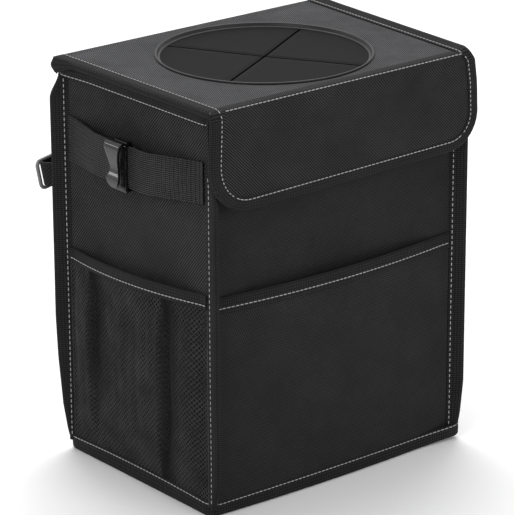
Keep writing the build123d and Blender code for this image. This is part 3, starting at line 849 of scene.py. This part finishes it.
bm = cloth(elastic, 240, 48, 1.2, lambda u, v: (v * 27, u * 136))
band = keep(bm, "left_elastic", ribbed_elastic, "bin", replaces=["left_elastic_band"])
right_band = mirrored(band, "right_elastic", "bin", ["right_elastic_band"])

# %% [markdown]
# ## Back strap
#
# Webbing is sewn to the back at both ends and stands off in a loop, which goes round a headrest post. A
# grey slider sits at its left bend.

# %% Strap across the back
strap_low, strap_high = 174.1, 189.9
strap_corners = [(-69.0, 0.7), (-93.0, 0.7), (-108.2, 18.4), (98.7, 18.4), (93.0, 0.7), (69.0, 0.7)]


def rounded_route(corners, radius, steps=7):
    """The corners of a route with each bend turned into an arc of about this radius."""
    route = [Vector(corners[0])]
    for before, corner, after in zip(corners, corners[1:], corners[2:]):
        here = Vector(corner)
        back_way, on_way = (Vector(before) - here).normalized(), (Vector(after) - here).normalized()
        opening = acos(max(-1, min(1, back_way.dot(on_way))))
        slope = sin(opening / 2) / cos(opening / 2)
        cut = min(radius / max(0.2, slope), 0.45 * (Vector(after) - here).length)
        start, end = here + back_way * cut, here + on_way * cut
        for step in range(steps + 1):
            t = step / steps
            route.append(start * (1 - t) ** 2 + here * 2 * t * (1 - t) + end * t**2)
    return route + [Vector(corners[-1])]


strap_route = [(p.x, p.y) for p in rounded_route(strap_corners, 4.5)]


def strap(u, v):
    x, off = along_section(strap_route, 1 - u)
    nearby = along_section(strap_route, min(1, max(0, 1 - u - 0.004)))
    run = Vector((x - nearby[0], off - nearby[1]))
    run = run.normalized() if run.length > 1e-6 else Vector((-1, 0))
    out = Vector((run.y, -run.x)) * -0.6
    height = strap_low + v * (strap_high - strap_low)
    drawn = ease((-x - 84) / 14) * ease((off - 2) / 12)
    askew = drawn * (height - 182) * 0.2
    return (x + out.x - askew, half_depth + off + out.y, height)


strap_length = 2 * (24 + 18.6 + 98.7)  # a sewn end, a rise and half of the run, twice
bm = cloth(strap, 200, 10, 1.2, (strap_length, strap_high - strap_low))
piece = keep(bm, "back_webbing", webbing, "bin", replaces=["back_strap"])

# %% [markdown]
# ## Lid
#
# The lid is a board in grey cloth with a lining below, and a round hole for the mouth. The cloth is a
# ring-shaped grid: its inner edge follows the hole and its outer edge the four sides, and its UV map is
# simply X and Y, so that the weave runs straight.

# %% Lid cloth, board and lining
def lid_side(side, y):
    """How far the lid's edge is from the middle. The right edge was sewn a little askew."""
    return lid_half_width + (0.05 * (y + 6) if side > 0 else 0.0)


def lid_ring(height, facing, front, rear, hole, seed):
    """A place function for a flat layer with a hole; facing 1 looks up and -1 down."""
    corners = [
        (-lid_half_width, rear),
        (lid_side(1, rear), rear),
        (lid_side(1, front), front),
        (-lid_half_width, front),
    ]
    if facing < 0:
        corners = corners[::-1]

    def place(u, v):
        side, t = int(u * 4) % 4, (u * 4) % 1.0
        a, b = corners[side], corners[(side + 1) % 4]
        edge = (a[0] + (b[0] - a[0]) * t, a[1] + (b[1] - a[1]) * t)
        away = Vector((edge[0], edge[1] - mouth_y))
        start = away.normalized() * hole
        x, y = start.x + (away.x - start.x) * v, mouth_y + start.y + (away.y - start.y) * v
        wave = soft(x, y, 34, 0.3, seed) * ease((away.length - hypot(x, y - mouth_y)) / 12) * ease(v * 4)
        return (x, y, height + facing * wave)

    return place


def flat_chart(place):
    """The UV map of a flat layer: X and Y as they are."""
    return lambda u, v: place(u, v)[:2]


lid_hole = 65.9
layer = lid_ring(lid_top, 1, flap_outer + 2.2, lid_rear, lid_hole, 31)
bm = cloth(layer, 192, 16, 0.9, flat_chart(layer), closed=True)
piece = keep(bm, "lid_cloth", lid_weave, "lid", replaces=["lid_cover"])
layer = lid_ring(lid_top - 1.0, 1, flap_inner + 1.1, lid_rear - 0.4, lid_hole + 0.4, 0)
bm = cloth(layer, 96, 4, 1.9, flat_chart(layer), closed=True)
keep(bm, "lid_stiffener", board_card, "lid", replaces=["lid_board"])
layer = lid_ring(lid_bottom, -1, flap_inner + 1.2, lid_rear, lid_hole + 0.3, 32)
bm = cloth(layer, 192, 16, 0.6, flat_chart(layer), closed=True)
piece = keep(bm, "lid_lining_cloth", taffeta, "lid", replaces=["lid_lining"])

# %% [markdown]
# At the rear the lid's cloth turns down over the edge of its board. Below it a strip of cloth joins the
# lid to the back of the box, and that strip is the hinge: it is one piece that runs from the box at its foot
# to the lid at its head, and curves between them.

# %% Rear fold and hinge cloth
rear_section = [(67.5, 260.05), (71.8, 260.3), (73.4, 260.1), (74.2, 259.3), (74.4, 258.0), (74.3, 256.2)]


def rear_fold(u, v):
    y, height = along_section(rear_section, v)
    left, right = 0.2 - lid_half_width, lid_side(1, lid_rear) - 0.2
    return (left + (right - left) * u, y, height)


bm = cloth(rear_fold, 80, 12, 0.5, (2 * lid_half_width, 12))
piece = keep(bm, "lid_rear_fold", lid_weave, "lid")
hinge_section = [(71.1, 229.0), (71.15, 244.5), (72.0, 248.0), (73.1, 252.0), (74.0, 255.0), (74.1, 256.9)]


def hinge_cloth(u, v):
    y, height = along_section(hinge_section, v)
    return ((1 - 2 * u) * 87.5, y + soft(u * 175, height, 30, 0.15, 41), height)


hinge_bend = ("bin", "lid", (0, 0.0734, 0.2535), (0, 0.0742, 0.2562))
bm = cloth(hinge_cloth, 60, 36, 0.8, (175, 28))
piece = keep(bm, "hinge_cloth", wall_twill, bend=hinge_bend, replaces=["hinge_strip"])

# %% [markdown]
# ## Mouth
#
# The mouth is one rubber moulding: a ring with a raised lip that holds the lid's cloth, and a membrane
# with two crossing slits. The ring could be a torus, but it has a neck through the lid and a flange below,
# so it is a whole section spun round the mouth's middle.

# %% Mouth ring
ring_section = [
    (64.1, 255.6),
    (69.4, 255.6),
    (69.4, 256.2),
    (66.6, 256.2),
    (66.6, 260.1),
    (67.3, 260.15),
    (67.45, 260.6),
    (67.3, 261.05),
    (66.9, 261.3),
    (66.4, 261.3),
    (66.0, 261.0),
    (65.7, 260.3),
    (65.4, 259.5),
    (64.9, 259.05),
    (64.1, 258.95),
]
bm = bmesh.new()
rim_verts = [bm.verts.new((r * MM, mouth_y * MM, z * MM)) for r, z in ring_section]
rim_edges = [bm.edges.new(pair) for pair in zip(rim_verts, rim_verts[1:] + rim_verts[:1])]
bmesh.ops.spin(
    bm,
    geom=rim_verts + rim_edges,
    cent=(0, mouth_y * MM, 0),
    axis=(0, 0, 1),
    angle=2 * pi,
    steps=128,
    use_merge=True,
)
bmesh.ops.remove_doubles(bm, verts=bm.verts, dist=0.01 * MM)
bmesh.ops.recalc_face_normals(bm, faces=bm.faces)
keep(bm, "mouth_ring_rubber", ring_rubber, "lid", replaces=["mouth_ring"], sharp=60)

# %% [markdown]
# The membrane is four quarters. Each is a fan-shaped grid that dips a little towards the slits. For each
# quarter two points across the joint's axis, some millimetres to each side, are given to keep, which only
# bakes its place in; nothing bends it.

# %% Membrane
slit_turn = 30.0
slit_half = 0.75
membrane_radius = 64.4
membrane_height = 258.9
leaf_reach = 45.078  # from the middle to the joint's axis
bend_reach = 7.0
for number in range(4):
    first = radians(slit_turn + 90 * number)
    run, across = Vector((cos(first), sin(first))), Vector((-sin(first), cos(first)))
    middle = (run + across).normalized()

    def quarter(u, v):
        angle, reach = (1 - u) * pi / 2, membrane_radius * v
        spot = run * (slit_half + reach * cos(angle)) + across * (slit_half + reach * sin(angle))
        if spot.length > membrane_radius:
            spot *= membrane_radius / spot.length
        near_slit = min(spot.dot(run), spot.dot(across)) - slit_half
        lift = -0.45 * ease(1 - near_slit / 2.2) - 0.4 * ease(1 - spot.length / 60)
        return (spot.x, mouth_y + spot.y, membrane_height + lift)

    ends = []
    for reach in (leaf_reach + bend_reach, leaf_reach - bend_reach):
        ends.append([middle.x * reach * MM, (mouth_y + middle.y * reach) * MM, 0.259])
    leaf_bend = ("lid", f"leaf_{number + 1}", *ends)
    leaf_node = [f"mouth_leaf_{number + 1}"]
    bm = cloth(quarter, 36, 36, 1.4, (100, 64), closed=True)
    keep(bm, f"mouth_quarter_{number + 1}", mouth_rubber, bend=leaf_bend, replaces=leaf_node)

# %% [markdown]
# ## Flap
#
# The flap hangs from the lid's front edge, a little askew, with rounded lower corners. Its outline comes
# first, as the distance of each edge from the middle at a height, because the cloth, the board, the lining
# and the tape all follow it.

# %% Outline of the flap
flap_turns = {-1: flap_corner, 1: 23.0}
lid_middle = (lid_top + lid_bottom) / 2
flap_middle = (flap_inner + flap_outer) / 2
turn_radius = 3.45
turn_y = flap_middle + turn_radius
right_widths = [
    (221, 106.2),
    (240, 105.4),
    (lid_middle - turn_radius, 103.2),
    (lid_middle, lid_side(1, turn_y)),
]


def flap_side(side, height):
    """How far the flap's edge is from the middle at a height."""
    wide = between(height, right_widths) if side > 0 else lid_half_width + 0.9 * ease((254 - height) / 27)
    below = flap_turns[side] - (height - flap_low)
    if below > 0:
        wide -= flap_turns[side] - sqrt(max(0.0, flap_turns[side] ** 2 - below**2))
    return wide


def across_flap(u, height):
    """The place across the flap at a share of its width, and how far that is from its nearer edge."""
    left, right = -flap_side(-1, height), flap_side(1, height)
    x = left + (right - left) * u
    return x, min(x - left, right - x)


def hung_askew(place):
    """The flap hangs a little lower on the left than on the right."""
    x, y, height = place
    lower = between(x, [(-104, 2.4), (104, -1.2)]) * max(0.0, 250 - height) / (250 - flap_low)
    return Vector((x, y, height - lower))


print("flap", [round(flap_side(-1, height) + flap_side(1, height)) for height in (200, 220, 250)], "mm wide")

# %% [markdown]
# The cloth starts on top of the lid, rolls over its front edge and hangs down as one piece, with no joint
# between the lid and the flap. The fold is crisp in the middle and rounder at both ends, where the tape
# holds it.

# %% Flap cloth
flap_face = flap_outer - 0.15
crisp_radius, crisp_rise = 2.2, 0.55


def fold_section(radius, rise):
    """The flap's cloth in section: (y, height) from its lower edge, over the fold, onto the lid."""
    side, top = flap_face, lid_top + rise
    points = [(side, flap_low + (top - radius - flap_low) * step / 24) for step in range(25)]
    for step in range(1, 9):
        angle = pi / 2 * step / 8
        points.append((side + radius * (1 - cos(angle)), top - radius * (1 - sin(angle))))
    return points + [(side + 4.2 + radius / 5, top), (side + 7.2, top - 0.15)]


crisp_fold = fold_section(crisp_radius, crisp_rise)
taped_fold = fold_section(5.1, 0.0)


def flap_cloth(u, v):
    crisp, taped = along_section(crisp_fold, v), along_section(taped_fold, v)
    x, inside = across_flap(u, crisp[1])
    share = ease((inside - 5) / 7)
    y, height = (b + (a - b) * share for a, b in zip(crisp, taped))
    drop = ease((lid_top - 4 - height) / 20) * ease((height - flap_low) / 14)
    bulge = 0.9 * drop * ease(inside / 40) + soft(x, height, 40, 0.35, 51) * drop
    return hung_askew((x, y - bulge, height))


def flap_chart(u, v):
    height = flap_low + v * 70
    return (across_flap(u, height)[0], height)


fold_bend = ("lid", "flap", (0, -0.0788, 0.2608), (0, -0.0826, 0.2560))
bm = cloth(flap_cloth, 100, 56, 0.8, flap_chart)
piece = keep(bm, "flap_cloth", flap_twill, bend=fold_bend, replaces=["flap_cover"])

# %% [markdown]
# Behind the cloth are a thin board, which keeps the flap flat, and a lining. Both are flat layers in the
# flap's outline.

# %% Board and lining of the flap
def flap_layer(y, facing, top, inset):
    """A place function for a flat layer of the flap that looks to -Y (facing -1) or to +Y (facing 1)."""

    def place(u, v):
        height = flap_low + inset + v * (top - flap_low - inset)
        x = across_flap(u if facing < 0 else 1 - u, height)[0]
        return hung_askew((x * (1 - inset / 105), y, height))

    return place


layer = flap_layer(flap_outer + 1.0, -1, 256.5, 0.8)
bm = cloth(layer, 40, 24, 1.2, (206, 60))
keep(bm, "flap_stiffener", board_card, "flap", replaces=["flap_board"])
layer = flap_layer(flap_inner, 1, 257.5, 0.0)
bm = cloth(layer, 80, 30, 0.6, (206, 61))
piece = keep(bm, "flap_lining_cloth", taffeta, "flap", replaces=["flap_lining"])

# %% [markdown]
# ## Edge tape of the lid and the flap
#
# One long tape binds the lid's left edge, runs over the front corner, down and round the flap, and back
# along the lid's right edge. A curve with a bevel could follow it, but would turn freely about its path.
# So the path is a list of points, each with the direction out over the edge and the direction of the
# cloth's face.

# %% Path of the edge
lid_tape_half = 2.6
flap_tape_half = 2.3
rear_end = lid_rear - 2.6
rear_turn = 1.2
rear_steps = 6
right_roll = 2.8  # how far the tape is rolled up on the lid's right edge


def edge_half(side):
    """Points from the lid's rear to the flap's foot: place, way over, face, half thickness and roll."""
    points = []
    roll = right_roll if side > 0 else 0.0
    over, up, forward = Vector((side, 0, 0)), Vector((0, 0, 1)), Vector((0, -1, 0))
    for step in range(rear_steps):
        angle = pi / 2 * (1 - step / rear_steps)
        y, height = rear_end + rear_turn * sin(angle), lid_middle - rear_turn * (1 - cos(angle))
        face = up * cos(angle) - forward * sin(angle)
        place = Vector((side * lid_side(side, y), y, height))
        points.append((place, over, face, lid_tape_half, roll))
    for step in range(41):
        y = rear_end + (turn_y - rear_end) * step / 40
        place = Vector((side * lid_side(side, y), y, lid_middle))
        points.append((place, over, up, lid_tape_half, roll))
    for step in range(1, 9):
        angle = pi / 2 * step / 8
        y, height = turn_y - turn_radius * sin(angle), lid_middle - turn_radius * (1 - cos(angle))
        place = Vector((side * flap_side(side, height), y, height))
        face = up * cos(angle) + forward * sin(angle)
        half = lid_tape_half + (flap_tape_half - lid_tape_half) * step / 8
        points.append((place, over, face, half, roll * (1 - step / 8)))
    side_top, side_low = lid_middle - turn_radius, flap_low + flap_turns[side]
    for step in range(1, 11):
        height = side_top + (side_low - side_top) * step / 10
        place = Vector((side * flap_side(side, height), flap_middle, height))
        points.append((place, over, forward, flap_tape_half, 0.0))
    turn_x = flap_side(side, side_low) - flap_turns[side]
    for step in range(1, 17):
        angle = pi / 2 * step / 16
        out = over * cos(angle) - up * sin(angle)
        place = Vector((side * turn_x, flap_middle, side_low)) + out * flap_turns[side]
        points.append((place, out, forward, flap_tape_half, 0.0))
    for step in range(1, 21):
        place = Vector((side * turn_x * (1 - step / 20), flap_middle, flap_low))
        points.append((place, -up, forward, flap_tape_half, 0.0))
    return points


def path_steps(points):
    """How far along a path each point lies. A point is a tuple that starts with its place."""
    steps = [0.0]
    for a, b in zip(points, points[1:]):
        steps.append(steps[-1] + (b[0] - a[0]).length)
    return steps


def stretch(steps, way):
    """The number of the stretch where a way along a path ends, and the share of that stretch."""
    number = 0
    while number < len(steps) - 2 and way > steps[number + 1]:
        number += 1
    return number, (way - steps[number]) / max(1e-9, steps[number + 1] - steps[number])


edge_points = edge_half(-1) + edge_half(1)[-2::-1]
edge_steps = path_steps(edge_points)
edge_length = edge_steps[-1]
print("edge", round(edge_length), "mm in", len(edge_points), "points")

# %% [markdown]
# The folded section is swept along the path. At the rear left the photograph shows the tape's end standing
# out and hanging open below the edge, like an ear.

# %% Edge tape
edge_leg = 8.6
ear_length = 20.0
ear_droop = 5.9
ear_out = 1.7
ear_from = 3.6  # behind the outermost line, where the lower leg starts to hang
ear_bend = 2.4  # over which it comes to hang fully


def along_edge(share):
    """The edge's place, way over it, face, half thickness and roll at a share of its length."""
    number, t = stretch(edge_steps, share * edge_length)
    a, b = edge_points[number : number + 2]
    over, face = a[1].lerp(b[1], t).normalized(), a[2].lerp(b[2], t).normalized()
    return a[0].lerp(b[0], t), over, face, a[3] + (b[3] - a[3]) * t, a[4] + (b[4] - a[4]) * t


def on_edge(share, back_off, across):
    """A point of the tape, behind its outermost line, and across from one face (-1) to the other (1)."""
    place, over, face, half, roll = along_edge(share)
    outwards = ease(1 + back_off / edge_leg)
    lift = roll * outwards * (1 + across) / 2
    ear = ease(1 - share * edge_length / ear_length)
    droop = ear_droop * ear * ease((back_off + ear_from) / ear_bend) * (1 - across) / 2
    spot = place + over * (tape + back_off + ear_out * ear * outwards) + face * (half * across + lift)
    return hung_askew(spot - Vector((0, 0, droop)))


def edge_tape(u, v):
    half = along_edge(u)[3]
    back_off, side = along_section(folded(edge_leg, half), v)
    wave = 0.18 * noise.noise(Vector((u * edge_length / 16, 3.1, 0)))
    return on_edge(u, back_off + wave, side / half)


edge_nodes = ["left_lid_binding", "right_lid_binding", "flap_binding"]
bm = cloth(edge_tape, 420, 16, 0.65, (edge_length, 22))
piece = keep(bm, "lid_and_flap_tape", grosgrain, bend=fold_bend, replaces=edge_nodes)

# %% [markdown]
# ## Hook and loop strips
#
# The flap is held by a hook strip behind it and a loop strip on the front wall. They are flat strips of
# pile with rounded corners, rougher than any cloth round them.

# %% Closure strips
pile_half = 44.9
pile_low, pile_high = 207.1, 226.9
pile_corner = 1.8


def pile_strip(y, facing, name, body, node):
    """A strip of pile on a face that looks to -Y (facing -1) or to +Y (facing 1)."""

    def place(u, v):
        x, height = (2 * u - 1) * pile_half * -facing, pile_low + v * (pile_high - pile_low)
        past_corner = max(0.0, abs(x) - (pile_half - pile_corner))
        inset = pile_corner - sqrt(max(0.0, pile_corner**2 - past_corner**2))
        height = min(max(height, pile_low + inset), pile_high - inset)
        rough = 0.12 * noise.noise(Vector((x / 1.3, height / 1.3, facing)))
        return (x, y + facing * (0.8 + rough), height)

    piece = keep(cloth(place, 90, 24, 0.7, (90, 20)), name, pile, body, replaces=[node])


pile_strip(-half_depth - 0.1, -1, "loop_pile", "bin", "loop_strip")
pile_strip(flap_inner, 1, "hook_pile", "flap", "hook_strip")

# %% [markdown]
# ## Stitching
#
# A light thread runs along every bound edge and is the strongest drawing on this dark object. A texture
# could draw it, but it would have no relief. Each stitch is a small stretched ball with only a few faces,
# laid along its seam with a gap before the next one. Some seams are sewn closer, so that their stitches
# nearly meet.

# %% Sewing
stitch_pitch = 3.6
stitch_dash = 2.6
close_pitch = 3.1
close_dash = 2.85
flap_pitch = 2.9
flap_dash = 2.0
stitch_half_width, stitch_half_height = 0.34, 0.26
stitch_lift = 0.12  # of its middle, off the tape


def sew(name, rows, body=None, bend=None, pitch=stitch_pitch, dash=stitch_dash):
    """Rows of stitches: each row is a list of (place, face) pairs along a seam, in millimetres."""
    bm = bmesh.new()
    count = 0
    for row in rows:
        row = [(Vector(place), Vector(face).normalized()) for place, face in row]
        steps = path_steps(row)
        whole = int(steps[-1] // pitch)
        slack = (steps[-1] - whole * pitch) / 2

        def spot(way):
            number, t = stretch(steps, way)
            here, beyond = row[number : number + 2]
            return here[0].lerp(beyond[0], t), here[1].lerp(beyond[1], t)

        for number in range(whole):
            start, face = spot(slack + number * pitch + 0.8)
            end, face = spot(slack + number * pitch + 0.8 + dash)
            run = (end - start).normalized()
            face = (face - run * face.dot(run)).normalized()
            side = run.cross(face)
            middle = (start + end) / 2 + face * stitch_lift
            axes = (side * stitch_half_width, face * stitch_half_height, run * dash / 2)
            size = Matrix(axes).transposed().to_4x4()
            matrix = Matrix.Scale(MM, 4) @ Matrix.Translation(middle) @ size
            bmesh.ops.create_uvsphere(bm, u_segments=6, v_segments=4, radius=1.0, matrix=matrix)
            count += 1
    keep(bm, name, thread, body, bend)
    print(name, count, "stitches")


def spaced(count):
    """Shares from 0 to 1 in even steps."""
    return [step / (count - 1) for step in range(count)]


print("a stitch each", stitch_pitch, "mm, or each", close_pitch, "mm where sewn closer")

# %% [markdown]
# The corner fins are sewn through from both sides, and the rim and base tapes all the way round.

# %% Stitches of the box
fin_rows = []
for corner in fins:
    top = fins[corner][3]
    for side in (-1, 1):
        row = []
        for share in spaced(80):
            height = fin_low + 1.5 + share * (top - fin_low - 3)
            out = min(2.8, fin_reach(corner, height) - 1.6)
            place = Vector(fin_point(corner, height, out, side * fin_half))
            row.append((place, place - Vector(fin_point(corner, height, out, 0))))
        fin_rows.append(row)
sew("corner_stitching", fin_rows, "bin")


def loop_row(height, away, radius):
    """A row round the box at a height."""
    row = []
    for share in spaced(193):
        spot, out = loop_point(share, half_width + away, half_depth + away, radius + away)
        row.append((carried_out(spot, away, height), (out.x, out.y, 0)))
    return row


sew("rim_stitching", [loop_row(248.7, 0.95, 5.2)], "bin", None, close_pitch, close_dash)
sew("base_stitching", [loop_row(6.9, 1.65, 5.0)], "bin", None, close_pitch, close_dash)

# %% [markdown]
# Each pocket's hem is sewn near its lower edge, on the curve that the hem stands in.

# %% Stitches of the pockets
hem_row = []
for share in spaced(120):
    along = (2 * share - 1) * (pocket_half - 1.0)
    hem_row.append((on_wall("front", along, 134.0, pocket_standoff(along, 134.0) + 2.05), (0, -1, 0)))
sew("front_pocket_stitching", [hem_row], "bin", None, close_pitch, close_dash)
for wall, sign in (("left", 1), ("right", -1)):
    row = []
    for share in spaced(100):
        along = (2 * share - 1) * (net_half - 0.5)
        off = arc_offset(along, net_ends, net_hem_bow) + 1.95
        row.append((on_wall(wall, along * sign, 133.6 + net_tilt(along), off), (-sign, 0, 0)))
    sew(f"{wall}_net_stitching", [row], "bin", None, close_pitch, close_dash)

# %% [markdown]
# The edge tape is sewn in one seam, with shorter stitches down the sides of the flap, so the row is cut
# into five. Like the tape, the stitches are handed the fold's bend, which only leaves them on no body with
# their place baked in. One more row runs along the fold between the lid and the flap.

# %% Stitches of the lid and the flap
front_turn, flap_turn = 50, 74  # points in the middle of the front corner and of the flap's corner
last = len(edge_points) - 1
cut_points = (0, front_turn, flap_turn, last - flap_turn, last - front_turn, last)
edge_cuts = [edge_steps[number] / edge_length for number in cut_points]
edge_rows = []
for start, end in zip(edge_cuts, edge_cuts[1:]):
    row = []
    for step in spaced(120):
        share = start + (end - start) * step
        row.append((on_edge(share, -7.2, 1.02), along_edge(share)[2]))
    edge_rows.append(row)
sew("lid_edge_stitching", edge_rows[0::2], None, fold_bend, close_pitch, close_dash)
sew("flap_edge_stitching", edge_rows[1::2], None, fold_bend, flap_pitch, flap_dash)
fold_row = []
for share in spaced(100):
    angle = radians(38)
    y = flap_face + crisp_radius * (1 - cos(angle))
    height = lid_top + crisp_rise - crisp_radius * (1 - sin(angle))
    fold_row.append(((-95.0 + share * 188.0, y, height), (0, -cos(angle), sin(angle))))
sew("fold_stitching", [fold_row], None, fold_bend, close_pitch, close_dash)

# %% [markdown]
# On the back the hinge cloth is sewn down along its foot, and each end of the strap by two short rows.

# %% Stitches of the back
hinge_row = [((87 - 174 * share, 71.2, 231.0), (0, 1, 0)) for share in spaced(60)]
strap_rows = []
for side in (-1, 1):
    for x in (72.0, 86.0):
        strap_rows.append([((side * x, 71.95, 175.5 + 13 * share), (0, 1, 0)) for share in spaced(12)])
sew("back_stitching", [hinge_row] + strap_rows, "bin")

# %% [markdown]
# ## Hooks
#
# Each hook is one moulding: a flat loop round the elastic, and a springy tongue that rolls over the top,
# is pressed in at its waist and ends in a round pad. First comes the shape: the tongue's side view as
# points of distance from the wall and height, its width at each height, and the loop, which is wider at
# its foot.

# %% Shape of a hook
hook_side = [
    (11.6, 223.8),
    (12.6, 225.2),
    (14.6, 225.8),
    (16.8, 225.3),
    (18.2, 223.8),
    (18.7, 221.6),
    (18.5, 218.8),
    (18.0, 215.9),
    (17.4, 213.0),
    (16.8, 210.4),
    (16.5, 208.2),
    (16.8, 206.2),
    (17.6, 204.3),
    (18.2, 202.2),
    (18.2, 200.0),
    (17.6, 196.8),
]
pad_height = 202.4
pad_half = 5.7


def hook_width(height):
    """The tongue is wide at its top, narrow at its waist and round at its end."""
    if height < pad_height:
        return 2 * sqrt(max(0.0, pad_half**2 - (height - pad_height) ** 2))
    foot_widths = [(pad_height, 11.4), (204.2, 10.8), (206.0, 8.6)]
    waist_widths = [(207.8, 7.4), (210.5, 7.6), (214.0, 9.0)]
    top_widths = [(218.5, 11.8), (222.0, 14.2), (226.0, 15.0)]
    return between(height, foot_widths + waist_widths + top_widths)


def hook_tongue(u, v):
    off, height = along_section(hook_side, v)
    return (-half_width - off, (u - 0.5) * hook_width(height), height)


loop_middle = 209.5
loop_off = 9.7
loop_width = 12.0


def hook_loop(u, v):
    spot = loop_point(u, 2.8, 15.6, 1.5)[0]
    foot = ease((200 - loop_middle - spot.y) / 6) * ease(spot.x)
    off = loop_off + spot.x + foot * 1.2
    return (-half_width - off, (v - 0.5) * (loop_width + 3.0 * foot), loop_middle + spot.y)


print("hook", [round(hook_width(height), 1) for height in (202, 208, 215, 224)], "mm wide, from its foot up")

# %% [markdown]
# Both are bent strips of constant thickness, so they start as grids like the cloth, and a small bevel
# rounds their edges, where the plastic shines. The right hook is the left one mirrored.

# %% Bag hooks
hook_thickness = 1.7


def round_edges(bm, size):
    """A small bevel on every sharp edge."""
    bm.normal_update()
    sharp_edges = [e for e in bm.edges if len(e.link_faces) == 2 and e.calc_face_angle() > radians(55)]
    bmesh.ops.bevel(
        bm,
        geom=sharp_edges,
        offset=size * MM,
        offset_type="OFFSET",
        affect="EDGES",
        segments=2,
        profile=0.5,
        material=-1,
        clamp_overlap=True,
    )


bm = cloth(hook_tongue, 14, 70, hook_thickness, (15, 40), closed=True)
round_edges(bm, 0.4)
tongue = keep(bm, "left_hook_tongue", clip_plastic, "left_clip", replaces=["left_bag_clip"])
bm = cloth(hook_loop, 96, 6, hook_thickness, (74, 12), closed=True)
round_edges(bm, 0.35)
loop = keep(bm, "left_hook_loop", clip_plastic, "left_clip")
mirrored(tongue, "right_hook_tongue", "right_clip", ["right_bag_clip"])
mirrored(loop, "right_hook_loop", "right_clip", [])

# %% [markdown]
# ## Slider
#
# The slider is a round-barred frame on the strap with one bar across it. The strap pulls it askew by some
# degrees. A circle swept round a rounded rectangle makes the frame, and a cylinder the bar.

# %% Strap slider
slider_tilt = Matrix.Rotation(radians(-11), 4, "Y")
slider_middle = Matrix.Translation(Vector((-95.6, 89.4, 181.6)) * MM)


def slider_frame(u, v):
    spot, out = loop_point(u, 9.4, 9.2, 3.0)
    angle = 2 * pi * v
    spot += out * 1.3 * cos(angle)
    return (spot.x, 1.2 * sin(angle), spot.y)


bm = bmesh.new()
bmesh.ops.create_grid(bm, x_segments=96, y_segments=10, size=0.5)
for vert in bm.verts:
    vert.co = Vector(slider_frame(vert.co.x + 0.5, vert.co.y + 0.5)) * MM
bmesh.ops.remove_doubles(bm, verts=bm.verts, dist=0.01 * MM)
bmesh.ops.create_cone(
    bm,
    segments=12,
    radius1=1.2 * MM,
    radius2=1.2 * MM,
    depth=18 * MM,
    cap_ends=True,
    matrix=Matrix.Translation((0, 0.6 * MM, 0)),
)
bmesh.ops.recalc_face_normals(bm, faces=bm.faces)
bmesh.ops.transform(bm, matrix=slider_middle @ slider_tilt, verts=bm.verts)
keep(bm, "webbing_slider", slider_plastic, "slider", replaces=["strap_slider"])

# %% [markdown]
# ## Boards
#
# The boards of the walls and of the base stay as the solids that they are, inside the cloth, and only take
# a finish.

# %% Finishes on the solids
kept_boards = ["front_board", "back_board", "left_board", "right_board", "base_board"]
for name in kept_boards:
    nodes[name].data.materials.clear()
    nodes[name].data.materials.append(board_card)
print("kept as solids", kept_boards)

# %% [markdown]
# ## Floor and light
#
# The object stands on a pale floor under soft studio light: one large lamp above and behind, which makes
# the lid the lightest face, weaker fills from the left and the front, and a small one at the back left for
# the gloss of the hook. The world is white to the camera and to reflections, and dimmer to everything
# else.

# %% Floor, lamps and world
bm = bmesh.new()
bmesh.ops.create_grid(bm, x_segments=1, y_segments=1, size=6.0)
floor_mesh = bpy.data.meshes.new("studio_floor")
bm.to_mesh(floor_mesh)
bm.free()
# Matt paint, nearly white, so that the floor shows little but the shadow.
floor_paint, tree, shader = new_finish("studio_floor_paint", Roughness=0.9)
shader.inputs["Base Color"].default_value = linear("#fafafa")
floor_mesh.materials.append(floor_paint)
floor = bpy.data.objects.new("studio_floor", floor_mesh)
floor.location.z = -0.0005
scene.collection.objects.link(floor)


def lamp(name, place, aim, size, power):
    """A square area lamp that looks at a point."""
    light = bpy.data.lights.new(name, "AREA")
    light.shape = "SQUARE"
    light.size = size
    light.energy = power
    holder = bpy.data.objects.new(name, light)
    holder.location = place
    holder.rotation_euler = (Vector(aim) - Vector(place)).to_track_quat("-Z", "Y").to_euler()
    scene.collection.objects.link(holder)


# Name, place and aim in metres, width in metres, power in watts
lamp("top_lamp", (0.5, 0.7, 1.9), (0, 0, 0.15), 1.5, 36)
lamp("left_fill", (-1.8, -0.6, 1.1), (0, 0, 0.12), 1.0, 16)
lamp("front_fill", (0.4, -2.0, 0.9), (0, 0, 0.12), 1.2, 14)
lamp("gloss_lamp", (-1.5, 1.6, 0.75), (-0.1, 0, 0.2), 0.5, 6)
world = bpy.data.worlds.new("studio")
scene.world = world
world.use_nodes = True
tree = world.node_tree
sky = tree.nodes["Background"]
sky.inputs["Color"].default_value = (1, 1, 1, 1)
rays = add_node(tree, "ShaderNodeLightPath")
seen = add_node(
    tree,
    "ShaderNodeMath",
    {},
    {0: rays.outputs["Is Camera Ray"], 1: rays.outputs["Is Glossy Ray"]},
    operation="MAXIMUM",
)
strength = add_node(
    tree,
    "ShaderNodeMapRange",
    {"To Min": 0.4, "To Max": 1.0},
    {"Value": seen.outputs[0]},
)
tree.links.new(strength.outputs[0], sky.inputs["Strength"])
